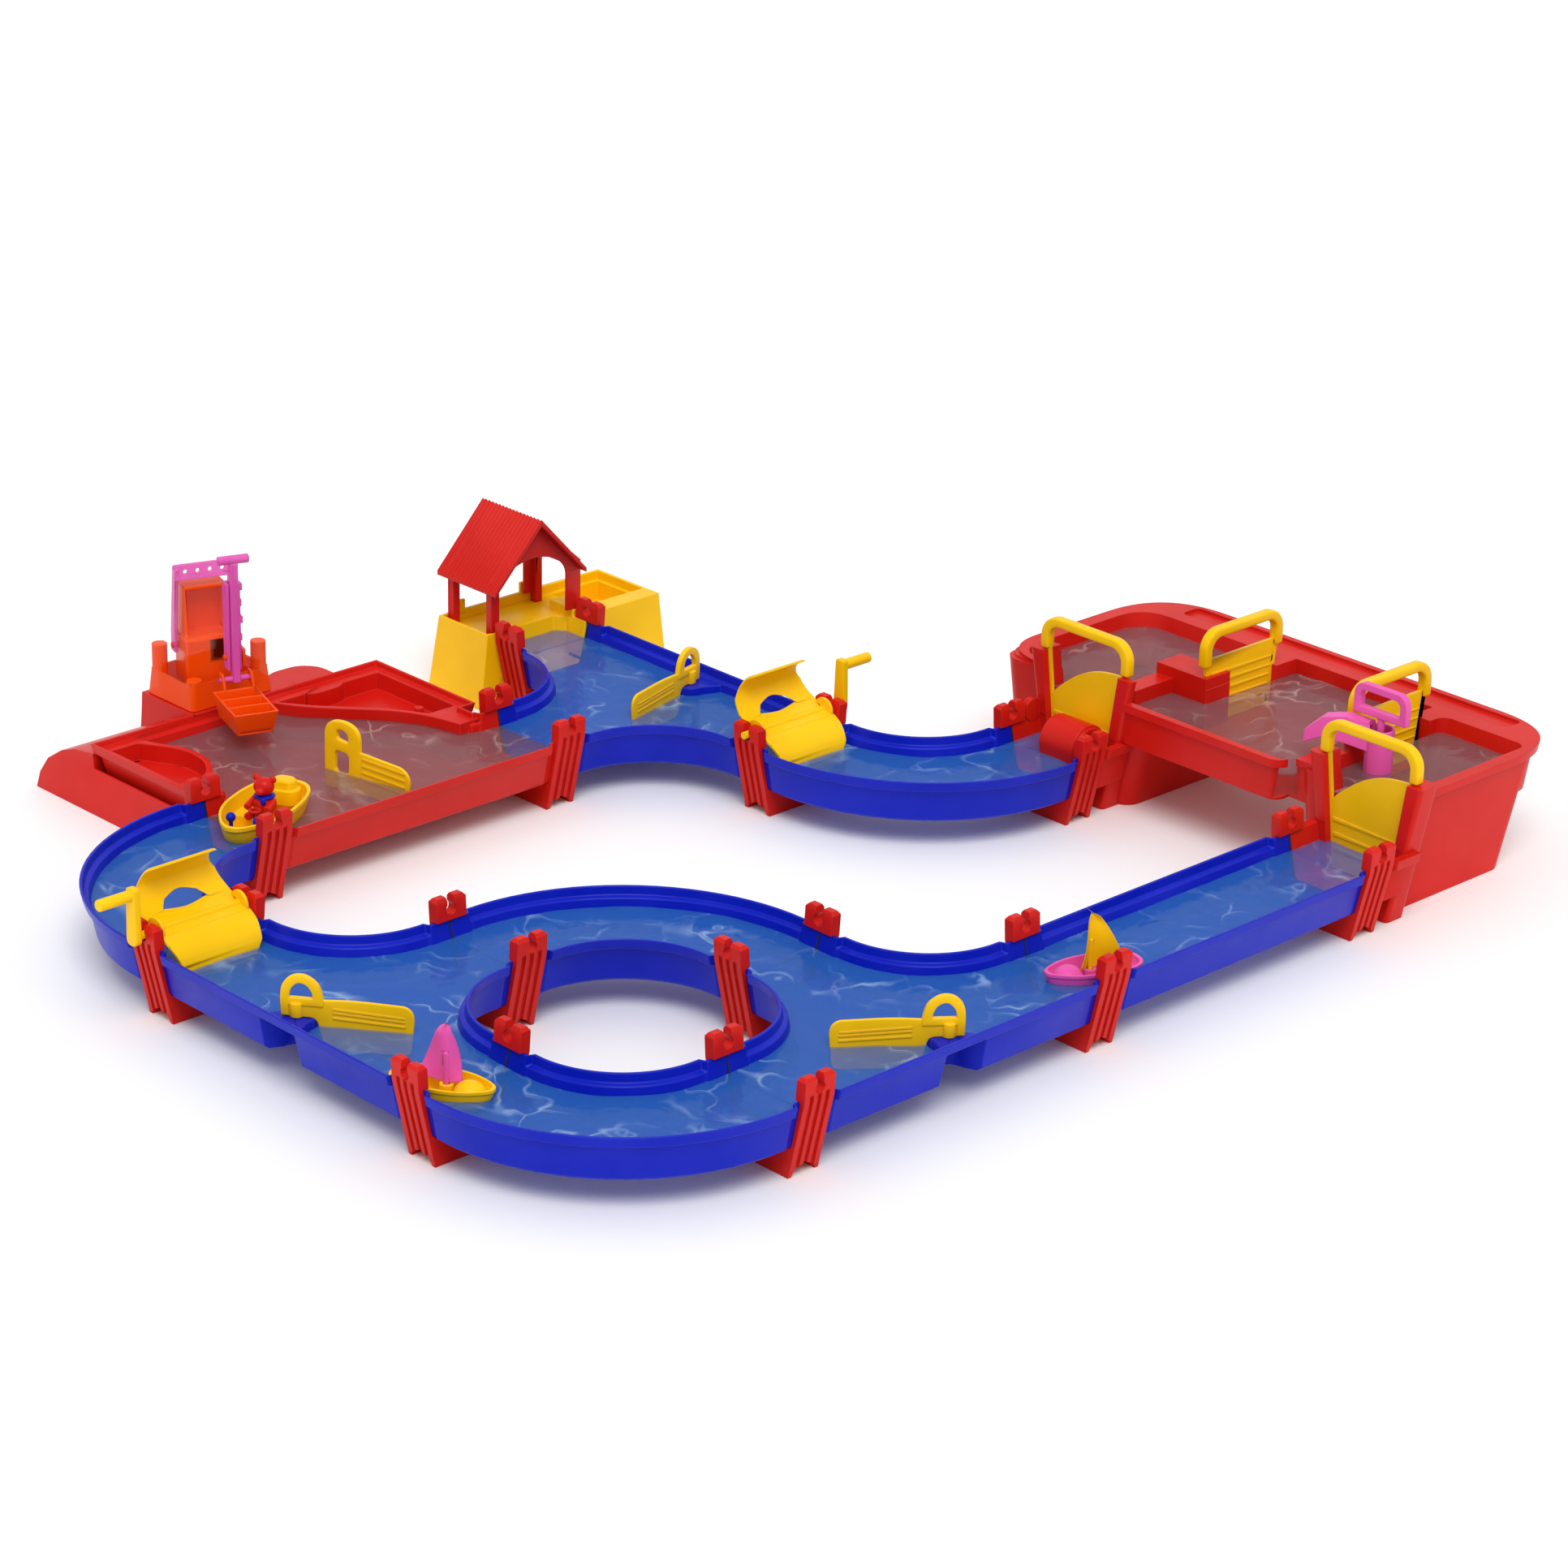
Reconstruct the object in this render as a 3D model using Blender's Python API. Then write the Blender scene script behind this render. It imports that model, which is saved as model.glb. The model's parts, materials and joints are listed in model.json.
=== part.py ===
"""Canal water play set: clipped channels, harbour with crane, dock, lock reservoir, gates, wheels, boats.

Metres, +Z up. The pieces are laid out on the canal grid, whose zero is the centre of the round
canal. At the end the middle of the footprint, on the ground, is moved to the origin.
"""
import math

import bmesh
import bpy
import numpy as np
from mathutils import Matrix, Vector

# driving dimensions of the canal system
INNER = 0.147            # radius of the small side wall of a quarter curve, at its rim
OUTER = 2 * INNER        # radius of the large side wall, at its rim
PITCH = INNER + OUTER    # length of every straight piece, and the grid of the set
WIDTH = OUTER - INNER    # width of a canal over its rims
MID = INNER + WIDTH / 2  # radius of the canal's centre line
PAD = 0.034              # straight end of every piece
FLAT = 0.026             # plain part of the end, where the clip sits
RIM = 0.091              # rim above the ground
UNDER = 0.034            # underside of a canal
WALL = 0.003
BAND = 0.079             # height of the step in the walls
STEP = 0.005             # the wall above the step stands out by this much
RECESS = 0.002           # the clip's seat is sunk by this much
DRAFT = 0.21             # slope of the walls, sideways per height
END = 0.001              # every piece stops this far from the seam plane
CLEAR = 0.0004

CLIP_TOP = 0.118
CLIP_W = 0.042
SLOT_W = 0.013
SEAT_Z = 0.105           # axle height of a paddle wheel in the clip slots

CENTRE = (0.4545, 0.38125)  # middle of the footprint on the canal grid

SHELF = 0.078            # top of the half-round gate shelf in a tee
NICHE_R = 0.020

POOL_RIM = 0.146         # rim of the raised reservoir
POOL_FLOOR = 0.095

BLUE = (0.010, 0.035, 0.50, 1)
RED = (0.62, 0.020, 0.012, 1)
YELLOW = (0.95, 0.56, 0.0, 1)
PINK = (0.82, 0.12, 0.45, 1)
ORANGE = (0.95, 0.10, 0.01, 1)
BLACK = (0.02, 0.02, 0.025, 1)


# ---------------------------------------------------------------- basics

def material(name, color, rough=0.32):
    mat = bpy.data.materials.get(name)
    if mat:
        return mat
    mat = bpy.data.materials.new(name)
    mat.use_nodes = True
    shader = mat.node_tree.nodes["Principled BSDF"]
    shader.inputs["Base Color"].default_value = color
    shader.inputs["Roughness"].default_value = rough
    shader.inputs["Metallic"].default_value = 0.0
    mat.diffuse_color = color
    return mat


def mesh_object(name, verts, faces):
    bm = bmesh.new()
    made = [bm.verts.new(v) for v in verts]
    for face in faces:
        bm.faces.new([made[i] for i in face])
    bmesh.ops.recalc_face_normals(bm, faces=bm.faces)
    mesh = bpy.data.meshes.new(name)
    bm.to_mesh(mesh)
    bm.free()
    obj = bpy.data.objects.new(name, mesh)
    bpy.context.scene.collection.objects.link(obj)
    return obj


def loft(loops, name="tool"):
    """Closed solid through loops of equal length, with flat ends."""
    n = len(loops[0])
    verts = [p for loop in loops for p in loop]
    faces = [list(range(n - 1, -1, -1)), [(len(loops) - 1) * n + i for i in range(n)]]
    for k in range(len(loops) - 1):
        for i in range(n):
            j = (i + 1) % n
            faces.append([k * n + i, k * n + j, (k + 1) * n + j, (k + 1) * n + i])
    return mesh_object(name, verts, faces)


def prism(outline, z0, z1, name="tool"):
    return loft([[(x, y, z) for x, y in outline] for z in (z0, z1)], name)


def box(x0, x1, y0, y1, z0, z1, name="tool"):
    return prism([(x0, y0), (x1, y0), (x1, y1), (x0, y1)], z0, z1, name)


def taper(low, high, z0, z1, r=0.012, name="tool"):
    """Rounded box whose plan goes from low to high, each (x0, x1, y0, y1)."""
    return loft([[(x, y, z) for x, y in rounded(*plan, r)] for plan, z in ((low, z0), (high, z1))], name)


def rounded(x0, x1, y0, y1, r, n=3):
    pts = []
    corners = ((x1 - r, y0 + r, -90), (x1 - r, y1 - r, 0), (x0 + r, y1 - r, 90), (x0 + r, y0 + r, 180))
    for cx, cy, a in corners:
        for k in range(n + 1):
            t = math.radians(a + 90 * k / n)
            pts.append((cx + r * math.cos(t), cy + r * math.sin(t)))
    return pts


def rod(a, b, r, n=10, name="tool", r2=None):
    """Round bar from a to b."""
    a, b = Vector(a), Vector(b)
    turn = (b - a).to_track_quat("Z", "Y").to_matrix()
    loops = []
    for end, radius in ((a, r), (b, r if r2 is None else r2)):
        loops.append([end + turn @ Vector((radius * math.cos(2 * math.pi * k / n),
                                           radius * math.sin(2 * math.pi * k / n), 0)) for k in range(n)])
    return loft(loops, name)


def slab(outline, frame, t0, t1, name="tool"):
    """Outline in the frame's XY plane, from t0 to t1 along its Z."""
    loops = [[frame @ Vector((u, v, t)) for u, v in outline] for t in (t0, t1)]
    return loft(loops, name)


def bake(obj):
    graph = bpy.context.evaluated_depsgraph_get()
    graph.update()
    mesh = bpy.data.meshes.new_from_object(obj.evaluated_get(graph))
    obj.modifiers.clear()
    obj.data = mesh


def combine(obj, tools, operation):
    for tool in tools:
        mod = obj.modifiers.new("b", "BOOLEAN")
        mod.operation = operation
        mod.solver = "EXACT"
        mod.object = tool
        bake(obj)
        bpy.data.objects.remove(tool)
    return obj


def cut(obj, *tools):
    return combine(obj, tools, "DIFFERENCE")


def add(obj, *tools):
    return combine(obj, tools, "UNION")


def mend_slivers(bm, height=5e-6):
    """Turn the long edge of every triangle that has one corner on its own long edge."""
    for _ in range(3):
        edges = []
        for face in bm.faces:
            edge = max(face.edges, key=lambda e: e.calc_length())
            if 2 * face.calc_area() < height * edge.calc_length():
                edges.append(edge)
        for edge in set(edges):
            bmesh.utils.edge_rotate(edge)


def finish(obj, name, color, parent=None, place=None, rough=0.32):
    """Clean the mesh, name it, colour it and move it to its place."""
    bm = bmesh.new()
    bm.from_mesh(obj.data)
    bmesh.ops.remove_doubles(bm, verts=bm.verts, dist=1e-6)
    bmesh.ops.dissolve_limit(bm, angle_limit=0.002, verts=bm.verts, edges=bm.edges)
    bmesh.ops.triangulate(bm, faces=bm.faces)
    mend_slivers(bm)
    bmesh.ops.recalc_face_normals(bm, faces=bm.faces)
    bm.to_mesh(obj.data)
    bm.free()
    if place is not None:
        obj.data.transform(place)
    obj.name = name
    obj.data.name = name
    obj.data.materials.clear()
    obj.data.materials.append(material(name, color, rough))
    obj.data.shade_smooth()
    obj.data.set_sharp_from_angle(angle=math.radians(35))
    if parent is not None:
        obj.data.transform(Matrix.Translation(-Vector(parent)))
        obj.location = parent
    return obj


# ---------------------------------------------------------------- canals

def trace(start, heading, parts, arc_step=15):
    """Wall line: list of (point, outward normal, stepped) along straights, arcs and corners.

    The water is on the left of the heading. parts: ("S", length), ("A", radius, degrees), ("C", degrees).
    """
    p = Vector(start)
    a = math.radians(heading)
    line = [(p.copy(), a)]
    for part in parts:
        if part[0] == "S":
            p = p + Vector((math.cos(a), math.sin(a))) * part[1]
            line.append((p.copy(), a))
        elif part[0] == "C":
            a += math.radians(part[1])
            line.append((p.copy(), a))
        else:
            side = 1 if part[2] > 0 else -1
            n = max(2, round(abs(part[2]) / arc_step))
            centre = p + Vector((-math.sin(a), math.cos(a))) * part[1] * side
            for _ in range(n):
                a += math.radians(part[2]) / n
                p = centre - Vector((-math.sin(a), math.cos(a))) * part[1] * side
                line.append((p.copy(), a))
    points = []
    for p, a in line:
        if points and (points[-1][0] - p).length < 1e-7:
            points[-1][2] = a
        else:
            points.append([p, a, a])
    out = []
    for p, a0, a1 in points:
        n0 = Vector((math.sin(a0), -math.cos(a0)))
        n1 = Vector((math.sin(a1), -math.cos(a1)))
        out.append((p, (n0 + n1) / (1 + n0.dot(n1)), 1.0))
    return out


def with_pads(line, flat=FLAT, ramp=0.003):
    """Insert the plain clip seat at both ends of a wall line."""
    for _ in range(2):
        (p0, n, _), (p1, _, _) = line[0], line[1]
        d = (p1 - p0).normalized()
        line = [(p0, n, 0.0), (p0 + d * flat, n, 0.0), (p0 + d * (flat + ramp), n, 1.0)] + line[1:]
        line = line[::-1]
    return line


def reach(line, extra):
    """The same wall line, longer by extra at both ends."""
    first, second = line[0], line[1]
    last, before = line[-1], line[-2]
    a = first[0] - (second[0] - first[0]).normalized() * extra
    b = last[0] + (last[0] - before[0]).normalized() * extra
    return [(a, first[1], first[2])] + line[1:-1] + [(b, last[1], last[2])]


def wall_loop(lines, z, inset, above, rim=RIM):
    loop = []
    for line in lines:
        for p, n, stepped in line:
            back = (RIM - min(z, rim)) * DRAFT + inset + (0 if above else STEP) * stepped
            back += (STEP + RECESS) * (1 - stepped)
            q = p - n * back
            loop.append((q.x, q.y, z))
    return loop


def canal_tools(lines, under=UNDER):
    """Outer body and inner hollow of a canal piece with the given wall lines."""
    outside = [wall_loop(lines, under, 0.004, False),
               wall_loop(lines, under + 0.004, 0.0, False),
               wall_loop(lines, BAND - 0.002, 0.0, False),
               wall_loop(lines, BAND, 0.0, True),
               wall_loop(lines, RIM, 0.0, True)]
    long = [reach(line, 0.004) for line in lines]
    floor = under + WALL
    inside = [wall_loop(long, floor, 0.004 + WALL, False),
              wall_loop(long, floor + 0.004, WALL, False),
              wall_loop(long, BAND, WALL, False),
              wall_loop(long, BAND + 0.002, WALL, True),
              wall_loop(long, RIM + 0.003, WALL, True)]
    return loft(outside), loft(inside)


def arc_walls():
    side = PAD - END
    outer = trace((OUTER, END), 90, [("S", side), ("A", OUTER - PAD, 90), ("S", side)])
    inner = trace((END, INNER), 0, [("S", side), ("A", INNER - PAD, -90), ("S", side)])
    return [with_pads(outer), with_pads(inner)]


def make_curve(name, centre, quarter):
    body, hollow = canal_tools(arc_walls())
    cut(body, hollow)
    place = Matrix.Translation((*centre, 0)) @ Matrix.Rotation(math.radians(90 * quarter), 4, "Z")
    return finish(body, name, BLUE, place=place)


def make_straight(name, x0, y0):
    near = trace((x0 + END, y0), 0, [("S", PITCH - 2 * END)])
    far = trace((x0 + PITCH - END, y0 + WIDTH), 180, [("S", PITCH - 2 * END)])
    body, hollow = canal_tools([with_pads(near), with_pads(far)])
    return finish(cut(body, hollow), name, BLUE)


def niche(radius, z0, z1, grow, back=0.03):
    """Rounded block round the gate's pivot, widening towards the straight wall of a tee."""
    px, py = GATE_PIVOT
    loops = []
    for z, r in ((z0, radius + grow), (z1, radius)):
        arc = [(px + r * math.sin(t), py + r * math.cos(t)) for t in np.radians(np.linspace(0, 180, 11))]
        wide = r + back
        outline = [(-OUTER - back, py + wide)] + arc + [(-OUTER - back, py - wide)]
        loops.append([(x, y, z) for x, y in outline])
    return loft(loops)


def make_tee(name, turn, shift):
    """Tee with its long wall at X = -OUTER, and a half-round shelf in it for the swing gate."""
    side = PAD - END
    corner = [("S", side), ("A", INNER - PAD, -90), ("S", side)]
    lines = [with_pads(trace((-INNER, END), 90, corner)),
             with_pads(trace((-END, PITCH - INNER), 180, corner)),
             with_pads(trace((-OUTER, PITCH - END), 270, [("S", PITCH - 2 * END)]))]
    body, hollow = canal_tools(lines)
    cut(hollow, niche(NICHE_R, UNDER - 0.01, SHELF, 0.008))
    cut(body, hollow)
    cut(body, niche(NICHE_R - WALL, UNDER - 0.01, SHELF - WALL, 0.008))
    socket = rod((*GATE_PIVOT, SHELF - 0.010), (*GATE_PIVOT, SHELF + 0.003), 0.0042, 12)
    cut(body, socket)
    place = Matrix.Translation((*shift, 0)) @ Matrix.Rotation(math.radians(turn), 4, "Z")
    return finish(body, name, BLUE, place=place)


GATE_PIVOT = (-OUTER + 0.035, PITCH / 2)


def make_harbour():
    """Basin beside the canal, with two sunk quays, a slip ramp and the crane's platform."""
    y_in, y_out, back = PITCH + INNER, PITCH + OUTER, 0.949
    right = PITCH - 0.008
    front = with_pads(trace((END, y_in), 0, [("S", PITCH - 2 * END)]))
    jog = 0.030
    rest = trace((PITCH - END, y_out), 180,
                 [("S", jog), ("C", -90), ("S", 0.022), ("C", -90), ("S", jog - 0.007), ("C", 90),
                  ("S", back - y_out - 0.022), ("C", 90), ("S", right), ("C", 90),
                  ("S", back - y_out - 0.022), ("C", 90), ("S", jog), ("C", -90), ("S", 0.022), ("C", -90),
                  ("S", jog - END)])
    rest = with_pads(rest, 0.026, 0.0025)
    body, hollow = canal_tools([front, rest])

    quay = [(0.245, back), (0.262, 0.918), (0.285, 0.885), (0.318, 0.850), (0.350, 0.815), (0.372, 0.775),
            (0.384, 0.728), (0.412, 0.728), (0.412, 0.760), (0.445, 0.760), (0.445, back)]
    bay = [(-0.02, back), (-0.02, 0.776), (0.040, 0.776), (0.072, 0.806), (0.089, 0.842), (0.088, 0.882),
           (0.072, 0.915), (0.058, back)]
    cut(hollow, prism(quay, UNDER - 0.01, 0.084), prism(bay, UNDER - 0.01, 0.084))
    cut(body, hollow)
    sunk_quay = [(0.262, 0.928), (0.288, 0.892), (0.321, 0.857), (0.355, 0.818), (0.378, 0.780),
                 (0.418, 0.780), (0.418, 0.928)]
    sunk_bay = [(0.016, 0.929), (0.016, 0.796), (0.036, 0.784), (0.066, 0.810), (0.082, 0.843),
                (0.081, 0.880), (0.066, 0.909), (0.054, 0.929)]
    cut(body, prism(sunk_quay, 0.062, 0.10), prism(sunk_bay, 0.062, 0.10))
    add(body, rod((0.398, 0.823, 0.060), (0.398, 0.823, 0.074), 0.006, 10))
    gate_post = rod((*HARBOUR_PIVOT, UNDER + 0.001), (*HARBOUR_PIVOT, 0.046), 0.014, 12)
    add(body, gate_post)
    cut(body, rod((*HARBOUR_PIVOT, 0.0385), (*HARBOUR_PIVOT, 0.050), 0.0042, 12))

    # skirt, ramp and platform behind the back wall
    ramp = [(0.945, 0.0), (1.066, 0.0), (1.058, 0.022), (1.040, 0.045), (1.012, 0.063), (0.985, 0.073),
            (0.945, 0.079)]
    across = Matrix(((0, 0, 1, 0), (1, 0, 0, 0), (0, 1, 0, 0), (0, 0, 0, 1)))
    add(body, slab(ramp, across, 0.0005, 0.150))
    deck = [(0.945, 0.0), (1.060, 0.0), (1.052, 0.089), (0.945, 0.089)]
    add(body, slab(deck, across, 0.1495, 0.300))
    add(body, taper((0.290, 0.382, 0.920, 1.020), (0.292, 0.376, 0.920, 1.012), 0.0, 0.084, 0.034))
    under_ramp = [(0.951, -0.01), (1.061, -0.01), (1.053, 0.020), (1.036, 0.041), (1.010, 0.059),
                  (0.984, 0.069), (0.951, 0.075)]
    cut(body, slab(under_ramp, across, 0.0040, 0.1465))
    under_deck = [(0.951, -0.01), (1.057, -0.01), (1.049, 0.0855), (0.951, 0.0855)]
    cut(body, slab(under_deck, across, 0.1530, 0.2965))
    cut(body, taper((0.300, 0.378, 0.952, 1.016), (0.300, 0.373, 0.952, 1.009), -0.01, 0.081, 0.028))
    add(body, box(0.0005, 0.0040, 0.775, 0.952, 0.0, 0.060))
    return finish(body, "harbour", RED)


HARBOUR_PIVOT = (0.205, 0.728)


def make_dock():
    """Covered landing stage at the end of the long canal."""
    x0, x1, y0, y1, top = 0.578, 0.848, 2 * PITCH + END, 1.003, 0.100
    left, right = PITCH + INNER, PITCH + OUTER
    slope = 0.010
    body = loft([[(x0 - slope, y0, 0.0), (x1 + slope + 0.004, y0, 0.0), (x1 + slope + 0.004, y1 + slope, 0.0),
                  (x0 - slope, y1 + slope, 0.0)],
                 [(x0, y0, top), (x1, y0, top), (x1, y1, top), (x0, y1, top)]])
    # room for the two clips in front of the tall sides
    for side, sign in ((left, -1), (right, 1)):
        lean = (RIM - UNDER) * DRAFT + 0.002
        x_top, x_low = side - sign * (STEP + RECESS), side - sign * (STEP + RECESS + lean)
        out = side + sign * (0.03 if sign < 0 else 0.016)
        x_in = x_low - sign * 0.005
        profile = [(x_in, -0.01), (x_in, UNDER), (x_low, UNDER + 0.006), (x_top, RIM),
                   (x_top, top + 0.02), (out, top + 0.02), (out, -0.01)]
        face = Matrix(((1, 0, 0, 0), (0, 0, 1, 0), (0, 1, 0, 0), (0, 0, 0, 1)))
        cut(body, slab(profile, face, y0 - 0.01, y0 + 0.024))
    cut(body, box(left - 0.03, right + 0.016, y0 - 0.01, y0 + 0.024, -0.01, UNDER))
    cut(body, box(left - 0.03, right + 0.016, y0 - 0.01, y0 + 0.024, RIM, top + 0.02))

    # water basin, continuing the canal's walls
    walls = [trace((right, y0 - 0.004), 90, [("S", 0.045), ("C", 45), ("S", 0.030), ("C", 45), ("S", 0.105),
                                             ("C", 45), ("S", 0.030), ("C", 45), ("S", 0.045)])]
    seated = [[(p, n, 0.0) for p, n, _ in walls[0]]]
    floor = UNDER + WALL
    hollow = loft([wall_loop(seated, floor, 0.004 + WALL, False),
                   wall_loop(seated, floor + 0.004, WALL, False),
                   wall_loop(seated, RIM + 0.03, WALL, False)])
    cut(body, hollow)
    # lower deck inside the parapet
    deck_z = 0.088
    near, back = y0 + 0.028, y1 - 0.004
    cut(body, prism([(x0 + 0.004, near), (right - 0.012, near), (right - 0.012, y0 + 0.072),
                     (right + 0.014, y0 + 0.072), (right + 0.014, near), (x1 - 0.004, near),
                     (x1 - 0.004, back), (x0 + 0.004, back)], deck_z, top + 0.01))
    cut(body, box(right + 0.026, x1 - 0.008, y0 + 0.032, y1 - 0.008, 0.062, top + 0.01))
    # parapet tabs along the back
    for x in (x0 + 0.018, right - 0.024):
        add(body, box(x, x + 0.022, y1 - 0.0045, y1 - 0.0005, top - 0.004, top + 0.014))
    # open from below
    y_low, y_high = y1 + 0.006, y1 - 0.003
    near = y0 + 0.030
    cut(body, taper((x0 - 0.005, left + 0.014, near, y_low), (x0 + 0.004, left + 0.002, near, y_high),
                    -0.01, 0.079, 0.003))
    cut(body, taper((right - 0.014, x1 + 0.008, near, y_low), (right - 0.009, x1 + 0.002, near, y_high),
                    -0.01, 0.058, 0.003))
    cut(body, box(left - 0.002, right + 0.002, y0 + 0.028, y1 + 0.004, -0.01, 0.030))
    half = POST / 2 + CLEAR
    for x, y in POST_FEET:
        cut(body, box(x - half, x + half, y - half, y + half, deck_z - 0.004, top + 0.03))
    return finish(body, "dock", YELLOW)


POST = 0.011
ROOF_X = (0.580, 0.732)
ROOF_Y = (0.893, 1.008)
POST_FEET = [(x, y) for x in (0.5925, 0.7305) for y in (0.9150, 0.990)]


def make_roof():
    """Ridge roof with arched gables on four posts."""
    x0, x1 = ROOF_X
    y0, y1 = ROOF_Y
    xm, eave, ridge, t = (x0 + x1) / 2, 0.153, 0.240, 0.003
    face = Matrix(((1, 0, 0, 0), (0, 0, 1, 0), (0, 1, 0, 0), (0, 0, 0, 1)))
    profile = [(x0, eave), (x0, eave + 0.006), (xm, ridge), (x1, eave + 0.006), (x1, eave),
               (xm, ridge - 0.0085)]
    body = slab(profile, face, y0, y1)
    a, b = POST_FEET[0][0] - POST / 2, POST_FEET[-1][0] + POST / 2
    ya, yb = POST_FEET[0][1] - POST / 2, POST_FEET[-1][1] + POST / 2
    gable = [(a, 0.10), (a, 0.165), (xm, ridge - 0.004), (b, 0.165), (b, 0.10)]
    turns = np.radians(np.linspace(0, 180, 9))
    arch = [(xm + 0.056 * math.cos(a_), 0.150 + 0.034 * math.sin(a_)) for a_ in turns]
    for y in (ya, yb - t):
        part = slab(gable, face, y, y + t)
        cut(part, slab([(xm - 0.056, 0.05), (xm + 0.056, 0.05)] + arch, face, y - 0.01, y + 0.02))
        add(body, part)
    w = POST / 2 - 0.0002
    for x, y in POST_FEET:
        add(body, box(x - w, x + w, y - w, y + w, 0.0845, 0.160))
    return finish(body, "roof", RED, parent=(xm, (y0 + y1) / 2, 0.088))


# ---------------------------------------------------------------- clips and seals

def seat_profile(z_list, inset):
    """Half of the canal's section at a clip seat: distance from the centre line at each height."""
    return [(WIDTH / 2 - STEP - RECESS - (RIM - z) * DRAFT - inset, z) for z in z_list]


def make_clip(name, place):
    """One U-shaped saddle: two slotted uprights joined by a foot plate under the canal."""
    out = [(0.0520, 0.0), (0.0730, RIM), (0.0745, CLIP_TOP), (0.0615, CLIP_TOP), (0.0600, RIM + CLEAR)]
    seat = seat_profile((RIM + CLEAR, UNDER + 0.004, UNDER - CLEAR), -CLEAR)
    corner = (seat[2][0] - 0.0035, UNDER - CLEAR)
    half = out + [seat[0], seat[1], corner]
    left = [(-y, z) for y, z in half[::-1]]
    across = Matrix(((0, 0, 1, 0), (1, 0, 0, 0), (0, 1, 0, 0), (0, 0, 0, 1)))
    body = slab(half + left, across, -CLIP_W / 2, CLIP_W / 2)
    along = Matrix(((1, 0, 0, 0), (0, 0, 1, 0), (0, 1, 0, 0), (0, 0, 0, 1)))
    w = SLOT_W / 2
    slot = [(-w, CLIP_TOP + 0.01), (-w, SEAT_Z), (-w * 0.7, SEAT_Z - w * 0.7), (0, SEAT_Z - w),
            (w * 0.7, SEAT_Z - w * 0.7), (w, SEAT_Z), (w, CLIP_TOP + 0.01)]
    arch = [(-0.0165, -0.01), (-0.0165, 0.004), (-0.004, 0.012), (0.004, 0.012), (0.0165, 0.004),
            (0.0165, -0.01)]
    cut(body, slab(slot, along, -0.09, 0.09), slab(arch, along, -0.09, 0.09))
    return finish(body, name, RED, place=place)


def make_seal(name, place):
    """Soft strip in the joint between two pieces."""
    zs = (UNDER + 0.004, RIM - 0.001)
    outer = seat_profile(zs, 0.0002)
    inner = seat_profile(zs, WALL)
    low = UNDER + 0.0002
    half = [(outer[0][0] - 0.004, low), outer[0], outer[1], inner[1], (inner[0][0] - 0.0015, zs[0] + WALL),
            (inner[0][0] - 0.005, low + WALL)]
    outline = half + [(-y, z) for y, z in half[::-1]]
    across = Matrix(((0, 0, 1, 0), (1, 0, 0, 0), (0, 1, 0, 0), (0, 0, 0, 1)))
    return finish(slab(outline, across, -0.0006, 0.0006), name, BLACK, place=place, rough=0.6)


SEAMS = [  # centre of the joint and the direction in which the canal runs through it
    ("left_top", (-MID, PITCH), "Y"), ("ring_left_back", (0, MID), "X"), ("ring_left_front", (-MID, 0), "Y"),
    ("ring_right_back", (MID, 0), "Y"), ("ring_right_front", (0, -MID), "X"),
    ("right_mid", (PITCH, -MID), "X"), ("right_end", (2 * PITCH, -MID), "X"),
    ("harbour_left", (0, PITCH + MID), "X"),
    ("harbour_right", (PITCH, PITCH + MID), "X"), ("dock", (PITCH + MID, 2 * PITCH), "Y"),
    ("back_mid", (PITCH + MID, PITCH), "Y"), ("back_end", (2 * PITCH, MID), "X")]


def seam_place(centre, run):
    return Matrix.Translation((*centre, 0)) @ Matrix.Rotation(math.radians(90 if run == "Y" else 0), 4, "Z")


# ---------------------------------------------------------------- gates and wheels

GATE_T = 0.004


def make_swing_gate(name, pivot, angle):
    """Gate blade that turns on a pin in the shelf of a tee, with a loop handle over the rim."""
    f = Matrix.Translation((*pivot, 0)) @ Matrix.Rotation(math.radians(angle), 4, "Z")
    f = f @ Matrix(((1, 0, 0, 0), (0, 0, 1, 0), (0, 1, 0, 0), (0, 0, 0, 1)))
    z = SHELF + 0.0005
    blade = [(0.0195, z), (0.0225, z - 0.004), (0.0300, 0.043), (0.116, 0.043), (0.124, 0.052),
             (0.126, 0.088), (0.120, 0.096), (0.060, 0.101), (0.032, 0.100), (0.026, 0.112),
             (0.016, 0.122), (0.004, 0.126),
             (-0.008, 0.122), (-0.015, 0.112), (-0.016, 0.100), (-0.015, z + 0.004), (-0.011, z)]
    body = slab(blade, f, -GATE_T / 2, GATE_T / 2)
    hole = [(-0.007, 0.101), (0.018, 0.101), (0.015, 0.110), (0.007, 0.117), (-0.001, 0.117), (-0.007, 0.111)]
    cut(body, slab(hole, f, -0.02, 0.02))
    add(body, rod((*pivot, z), (*pivot, 0.096), 0.0055, 10))
    add(body, rod((*pivot, SHELF - 0.0015), (*pivot, z + 0.002), 0.0036, 10))
    return finish(body, name, YELLOW, parent=(*pivot, SHELF))


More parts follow.
